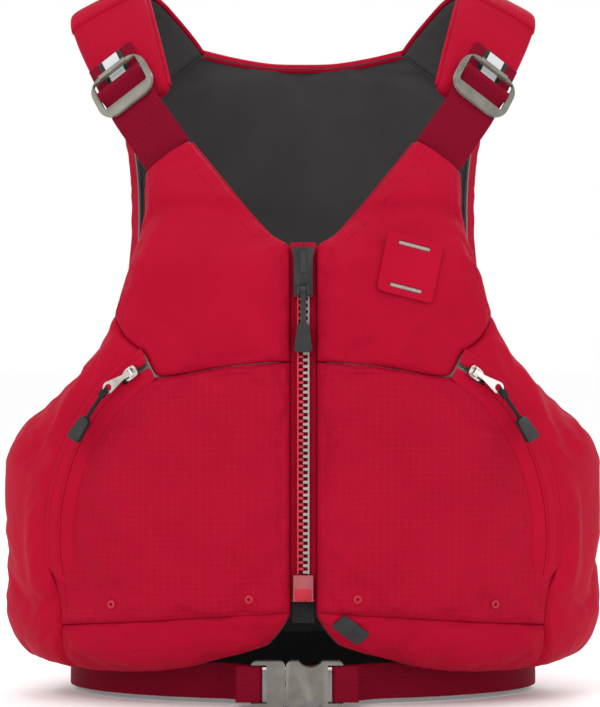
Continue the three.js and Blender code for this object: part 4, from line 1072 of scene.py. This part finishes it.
pad_neck = spline([list(pad_start(0.0)), [35, 66], [41.5, 90], [39, 114], [32.8, 138]])
pad_arm = spline([list(pad_start(1.0)), [66.7, 60], [74.5, 90], [68.3, 112], [50.3, 140]])


def pad_point(across, along, h):
    across, along, h = (np.array(v, float) for v in np.broadcast_arrays(across, along, h))
    p = raw(pad_neck, along) * (1 - across[..., None]) + raw(pad_arm, along) * across[..., None]
    straight = pad_start(0.0) * (1 - across[..., None]) + pad_start(1.0) * across[..., None]
    p = p + (pad_start(across) - straight) * ((1 - along) ** 3)[..., None]
    n = normal(over_shoulder, p[..., 0], p[..., 1], 0.3, 0.3)
    return over_shoulder(p[..., 0], p[..., 1]) - n * h[..., None]


def pad_section(t, n=40, swell=0.0, inset=0.0):
    """One closed loop round the pad at a share of its length: across and height."""
    q = np.linspace(0, 2 * np.pi, n, endpoint=False)
    c, s = np.cos(q), np.sin(q)
    across = 0.5 + (0.5 - inset) * np.sign(c) * np.abs(c) ** 0.45
    end = rounding(0.55, 0.07, 1 - t)
    upper = PAD_THICK * end * np.abs(s) ** 0.6
    middle = PAD_THICK * 0.35 * end
    above = middle + upper * 0.62 + swell * np.clip(s, 0, 1)
    return across, np.where(s > 0, above, middle * (1 - np.abs(s) ** 0.7))


def along_pad(name, side, shares, section, material, levels=0):
    """A body along the pad, with its section (across, height) at each share of the length, and its loops."""
    loops, pattern = [], []
    for t in shares:
        across, height = section(t)
        loops.append(pad_point(across, t, height))
        pattern += [(x * 60, t * 200) for x in across]
    return swept(name, loops, material, side, np.array(pattern), levels=levels), loops


def shoulder_pad(side):
    shares = np.linspace(0, 1, 64)
    phase = 0 if side == "left" else 1.7

    def cloth_section(t):
        return pad_section(t, swell=0.8 + 0.5 * math.sin(t * 31 + phase) * (1 - abs(2 * t - 1)))

    def lining_section(_):
        across = np.linspace(0.02, 0.98, 16)
        return np.concatenate([across, across[::-1]]), np.repeat([-0.9, 0.7], 16)

    def flap_section(t):
        across, height = pad_section(t, swell=1.7, inset=-0.014)
        return across, np.where(height > PAD_THICK * 0.3, height + 0.75, height - 0.15)

    pad, _ = along_pad(f"pad_cloth_{side}", side, shares, cloth_section, RED, 1)
    place(pad, "jacket_back", f"shoulder_pad_{side}")
    under, _ = along_pad(f"pad_lining_{side}", side, shares[:-1], lining_section, LINING)
    place(under, "jacket_back")
    # the flap of cloth that wraps the pad over its crest
    shares = np.linspace(0.455, 0.655, 22)
    flap, loops = along_pad(f"pad_flap_{side}", side, shares, flap_section, RED_SIDE, 1)
    place(flap, "jacket_back")
    across = np.linspace(0.05, 0.95, 60)
    rows = []
    for t in (0.475, 0.638):
        line = pad_point(across, t, PAD_THICK + 1.8)
        rows.append((line, unit(pad_point(across, t, PAD_THICK + 5) - line)))
    flap_points = [Vector(p) for p in np.array(loops).reshape(-1, 3)]
    tree = BVHTree.FromPolygons(flap_points, grid_faces(len(loops), len(loops[0]), wrap=True))
    sew(f"pad_stitches_{side}", side, "jacket_back", rows, tree=tree)
    for name, edge, radius in (("neck", 0.0, 2.0), ("arm", 1.0, 1.2)):
        line = pad_point(edge, np.linspace(0.0, 0.98, 90), PAD_THICK * 0.2)
        piping(f"pad_piping_{name}_{side}", side, "jacket_back", line, radius, RED_SIDE)


for side in SIDES:
    shoulder_pad(side)

# ------------------------------------------------------------------ shoulder straps
STRAP_W, CROSSBAR_OUT, CROSSBAR_R = 38.0, 6.0, 1.7
PLAY = 0.3  # between webbing and the bar it turns round
strap_out = normal(torso, 45.0, down(74), 0.05, 0.5)
top_mid = at(strap_end, 0.5)
strap_up = torso(45.0, down(74)) - torso(top_mid[0], top_mid[1])
strap_up = unit(strap_up - strap_out * (strap_up @ strap_out))
strap_right = np.cross(strap_up, strap_out)
strap_origin = torso(45.0, down(74)) + strap_out * (PAD_THICK + 0.3)


def strap_place(x, y, z):
    x, y, z = (np.array(v, float) for v in np.broadcast_arrays(x, y, z))
    return strap_origin + x[..., None] * strap_right + y[..., None] * strap_up + z[..., None] * strap_out


def to_strap(p):
    d = p - strap_origin
    return np.array([d @ strap_right, d @ strap_up, d @ strap_out])


foot_a, foot_b = (to_strap(off(torso, at(strap_end, t)[0], at(strap_end, t)[1], 6.0)) for t in (0.0, 1.0))
foot = (foot_a + foot_b) / 2
skew, tilt = (foot_b[1:] - foot_a[1:]) / (foot_b[0] - foot_a[0])


def strap_band(name, side, path, width, thick, material, bulge=0.1):
    """A flat strap through (y, z, x, skew, tilt) rows of the strap's frame."""
    rows = spline([list(p) + [0.0] * (5 - len(p)) for p in path], 6)
    section = rounded_section(width, thick, bulge=bulge)
    d = np.gradient(rows[:, :2], axis=0)
    d = d / np.maximum(np.linalg.norm(d, axis=1, keepdims=True), 1e-9)
    w, u = section[:, 0], section[:, 1]
    loops, pattern = [], []
    for (y, z, x, sk, ti), (dy, dz), at_s in zip(rows, d, along_lengths(rows[:, :2])):
        loops.append(strap_place(x + w, y + w * sk - dz * u, z + w * ti + dy * u))
        pattern += [(q, at_s) for q in w]
    return swept(name, loops, material, side, np.array(pattern))


def shoulder_strap(side):
    """Webbing from the front's top edge, round the adjuster's crossbar and back under itself."""
    low = (-24, 2.9)
    half = [foot[1] + 1.1, foot[2], foot[0], skew, tilt]
    halfway = [(half[0] + low[0]) / 2, (half[1] + low[1]) / 2, half[2] / 2, skew / 2, tilt / 2]
    turn = CROSSBAR_R + PLAY + WEB / 2
    roll = [(turn * math.sin(q * D), CROSSBAR_OUT + turn * math.cos(q * D)) for q in range(-60, 201, 26)]
    path = [half, halfway, low, (-9, 2.9), *roll, (-9, 0.9), (-22, 0.9)]
    strap = strap_band(f"strap_web_{side}", side, path, STRAP_W, WEB, RED_WEB)
    ends = ((half[2], half[0], half[1]), (0, -14, 2.9))
    start, end = (strap_place(*where) * [MIRROR[side], 1, 1] * MM for where in ends)
    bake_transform(strap)
    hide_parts(f"shoulder_webbing_{side}")


def anchor(side):
    """Webbing sewn to the pad above the adjuster, with its reflective strip."""
    path = [(0.5, 0.8), (9, 0.8), (18, 0.6), (27, 0)]
    web = strap_band(f"anchor_web_{side}", side, path, STRAP_W, WEB, RED_WEB)
    place(web, "jacket_back", f"anchor_webbing_{side}")
    path = [(6, 2.1), (9, 2.1), (18, 1.9), (26.5, 1.35)]
    strip = strap_band(f"reflective_tape_{side}", side, path, 20, 0.5, REFLECTIVE, bulge=0.0)
    place(strip, "jacket_back", f"reflective_strip_{side}")


for side in SIDES:
    shoulder_strap(side)
    anchor(side)
    body = f"adjuster_{side}"
    refine(f"{body}_moulded", f"strap_{body}", body, STONE, "stone_plastic", 0.8, 3)

# ------------------------------------------------------------------ main zip
def zip_tape(side):
    low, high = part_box(f"zip_tape_{side}")
    x0, x1 = sorted((abs(low.x) / MM, abs(high.x) / MM))
    levels = np.linspace(low.z / MM, high.z / MM, 90)
    section = rounded_section(x1 - x0, 1.1) + [(x0 + x1) / 2, 0]
    loops = []
    for z in levels:
        y = section[:, 1] + TAPE_Y + 0.12 * math.sin(z / 6)
        loops.append(np.stack([section[:, 0], y, np.full(len(section), z)], -1))
    pattern = np.stack([np.tile(section[:, 0], 90), np.repeat(levels, len(section))], -1)
    tape = swept(f"zip_tape_web_{side}", loops, TAPE_RED, side, pattern)
    place(tape, f"front_{side}", f"zip_tape_{side}")


TEETH = {"left": (TEETH_GREY, "tooth_grey"), "right": (TEETH_RED, "red_plastic")}
for side in SIDES:
    body = f"front_{side}"
    zip_tape(side)
    refine(f"zip_teeth_moulded_{side}", f"zip_teeth_{side}", body, *TEETH[side], 0.3)
    refine(f"zip_stop_moulded_{side}", f"zip_top_stop_{side}", body, BLACK, "black_plastic", 0.5)
    for where in ("inner", "outer"):
        refine(f"eyelet_{where}_{side}", f"drain_grommet_{where}_{side}", body, RED_MOULD, "red_plastic", 0.2)
    grip = f"pocket_grip_{side}"
    refine(f"pocket_slider_cast_{side}", f"pocket_slider_{side}", f"pocket_slider_{side}", NICKEL, "steel")
    refine(f"pocket_tab_cast_{side}", f"pocket_pull_tab_{side}", f"pocket_tab_{side}", NICKEL, "steel", 0.3)
    refine(f"pocket_cord_{side}", f"pocket_pull_cord_{side}", grip, CORD, "black_cord", 0.9, 3)
    refine(f"pocket_grip_moulded_{side}", f"pocket_pull_grip_{side}", grip, RUBBER, "black_plastic", 1.1, 3)


def zip_box_front():
    """The moulded front of the zip's box, a rounded square that stands 0.3 mm proud of it."""
    low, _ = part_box("zip_box")
    q = np.linspace(0, 2 * np.pi, 28, endpoint=False)
    across, up = (np.sign(v) * np.abs(v) ** 0.3 for v in (np.cos(q), np.sin(q)))
    loops = []
    for y, grow in ((2.0, 1.0), (-0.12, 1.0), (-0.3, 0.95)):
        z = low.z / MM + 4.6 + 4.3 * grow * up
        loops.append(np.stack([5.8 * grow * across, np.full(len(q), low.y / MM + y), z], -1))
    place(swept("zip_box_moulded", loops, RED_MOULD), "front_right")


refine("zip_pin_film", "zip_pin", "front_left", CLEAR_RED, "red_plastic", 0.3)
refine("zip_box_film", "zip_box", "front_right", CLEAR_RED, "red_plastic", 0.6)
zip_box_front()
refine("zip_guard_cloth", "zip_guard", "front_left", TAPE_BLACK, "black_plastic", 0.4)
refine("zip_slider_cast", "zip_slider", "zip_slider", BLACK, "black_plastic", 0.5)
refine("zip_pull_link_moulded", "zip_pull_link", "zip_pull", BLACK, "black_plastic", 0.6)
refine("zip_pull_grip_moulded", "zip_pull_grip", "zip_pull", RUBBER, "black_plastic", 1.1, 3)
refine("corner_patch_cloth", "corner_patch", "front_left", RUBBER, "black_plastic", 0.5)
refine("lash_tab_moulded", "lash_tab", "front_left", RED_SIDE, "red_cloth", 0.7)


def lash_frame():
    """Across, up and out of the CAD's lash tab, and the middle of its foot."""
    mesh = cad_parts["lash_tab"].data
    facing = [f for f in mesh.polygons if f.normal.y < -0.9]
    largest = max(facing, key=lambda f: f.area)
    a, b, c = (np.array(mesh.vertices[i].co, float) / MM for i in largest.vertices[:3])
    out = unit(np.cross(b - a, c - b))
    plumb = unit(np.array([0, 0, 1.0]) - out * out[2])
    level = np.cross(plumb, out)
    across = level * math.cos(LASH_TURN) + plumb * math.sin(LASH_TURN)
    up = plumb * math.cos(LASH_TURN) - level * math.sin(LASH_TURN)
    corners = np.array([v.co for v in mesh.vertices], float) / MM
    reach = [corners @ axis for axis in (across, up, out)]
    middle = [(r.min() + r.max()) / 2 for r in reach]
    return across, up, out, middle[0] * across + middle[1] * up + (middle[2] - LASH_THICK / 2) * out


def lash_webbing(where, way):
    """Stone-coloured webbing that shows in a slot of the lash tab."""
    across, up, out, tab_foot = lash_frame()
    section = rounded_section(2.9, 1.5, bulge=0.25)
    rise_by, out_by = (way * LASH_SLOT + section[:, 0])[:, None], (1.05 + section[:, 1])[:, None]
    loops = [tab_foot + x * across + rise_by * up + out_by * out for x in np.linspace(-11.2, 11.2, 24)]
    pattern = np.stack([np.tile(section[:, 0], 24), np.repeat(np.linspace(0, 22, 24), len(section))], -1)
    band = swept(f"lash_webbing_{where}", loops, STONE_WEB, "left", pattern)
    place(band, "front_left")


lash_webbing("upper", 1)
lash_webbing("lower", -1)

# ------------------------------------------------------------------ belt and buckle
BUCKLE_Y = -(CHEST + 12)
BAR_AT = {"left": 23.5, "right": 31.8}  # the bar that each half of the belt turns round
BELT_BAR_R = 1.8


def belt_path(bar):
    """From the tail in front of the bar, round it and along the torso to the spine."""
    turn = BELT_BAR_R + PLAY + WEB / 2
    path = [(bar + 15, BUCKLE_Y - turn + 1.2)]
    path += [(bar + turn * math.cos(q * D), BUCKLE_Y - turn * math.sin(q * D)) for q in range(90, 271, 30)]
    start = math.asin((bar + 6) / A) / D
    for i in range(27):
        angle = start + (SPINE - start) * (i / 26) ** LIE
        t = float(smooth(np.array(angle), 10, 19))
        h = (12 - turn) * (1 - t) - 2.2 * t
        path.append(off(torso, np.array(angle), np.array(BELT_Z), np.array(h))[:2])
    return spline(path, 5)


def belt(side):
    line = belt_path(BAR_AT[side])
    section = rounded_section(BELT_WIDTH, 1.4)
    w, u = section[:, 0], section[:, 1]
    loops, pattern = [], []
    for (x, y), (dx, dy), length in zip(line, unit(np.gradient(line, axis=0)), along_lengths(line)):
        loops.append(np.stack([x - dy * u, y + dx * u, BELT_Z + w], -1))
        pattern += [(q, length) for q in w]
    web = swept(f"belt_web_{side}", loops, RED_WEB, side, np.array(pattern))
    if side == "left":
        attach(web, "jacket_back")
    else:
        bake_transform(web)
    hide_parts(f"belt_webbing_{side}")


def belt_tunnel_painted_shade():
    """Black cloth round the belt inside the back. Its black is painted shade for the dark hollow inside the
    back's hem.
    """
    loops, pattern = [], []
    for angle in np.linspace(BACK_SIDE + 4, 360 - BACK_SIDE - 4, 90):
        sag = 0.35 * math.sin(angle * 0.55)
        z = np.array([2.6, 4.2, 16.0, 29.5, 36.0 + sag, 36.0 + sag, 29.5, 16.0, 4.2, 2.6])
        h = np.array([-1.6, -3.9, -4.3 - sag, -3.9, -1.7, -0.6, -3.3, -3.5 - sag, -3.3, -0.6])
        loops.append(off(torso, np.full(10, angle), np.maximum(z, BACK_HEM + 0.6), h))
        pattern += [(angle * 2.5, q) for q in z]
    # painted shade: this black cloth darkens the hollow inside the back's hem, where the grey lining would
    # show lit
    tunnel = swept("belt_tunnel_painted_shade", loops, TAPE_BLACK, "left", np.array(pattern), levels=1)
    place(tunnel, "jacket_back")


for side in SIDES:
    belt(side)
belt_tunnel_painted_shade()
refine("buckle_female_moulded", "buckle_female", "jacket_back", BUCKLE, "grey_plastic", 0.7, 3)
refine("buckle_male_moulded", "buckle_male", "buckle_male", BUCKLE, "grey_plastic", 0.6, 3)
for where in ("upper", "lower"):
    node = f"buckle_prong_{where}"
    refine(f"{node}_moulded", node, f"prong_{where}", BUCKLE, "grey_plastic", 0.4)

# ------------------------------------------------------------------ stage and light
FLOOR_REACH = 30.0
floor_z = cad_box[0].z - 0.0005
corners = [(x, y, floor_z) for y in (-FLOOR_REACH, FLOOR_REACH) for x in (-FLOOR_REACH, FLOOR_REACH)]
mesh = bpy.data.meshes.new("studio_floor")
mesh.from_pydata(corners, [], [(0, 1, 3, 2)])
floor = bpy.data.objects.new("studio_floor", mesh)
SCENE.collection.objects.link(floor)
n = Nodes("studio_floor")
white = n.mix(n.noise(n.place(), 3.0), (0.975, 0.975, 0.975, 1), (0.985, 0.985, 0.985, 1))
mesh.materials.append(n.done(white, 0.9))


def light(name, where, aim, size, power):
    """A soft box, its size in metres and its power in watts."""
    data = bpy.data.lights.new(name, "AREA")
    data.shape, data.size, data.size_y = "RECTANGLE", size[0], size[1]
    data.energy = power
    obj = bpy.data.objects.new(name, data)
    SCENE.collection.objects.link(obj)
    obj.location = where
    obj.rotation_euler = (Vector(aim) - Vector(where)).to_track_quat("-Z", "Y").to_euler()


light("key", (-0.9, -1.9, 1.7), (0, 0, 0.25), (1.4, 1.4), 20)
light("fill", (1.5, -1.7, 0.7), (0, 0, 0.25), (1.6, 1.6), 9)
light("top", (0.0, -0.1, 2.2), (0, 0, 0.3), (1.6, 1.2), 9)
light("rear", (0.6, 2.0, 1.6), (0, 0, 0.3), (1.6, 1.2), 14)
world = bpy.data.worlds.new("studio")
SCENE.world = world
world.use_nodes = True
world.node_tree.nodes["Background"].inputs["Color"].default_value = (1.0, 1.0, 1.0, 1)
world.node_tree.nodes["Background"].inputs["Strength"].default_value = 1.0
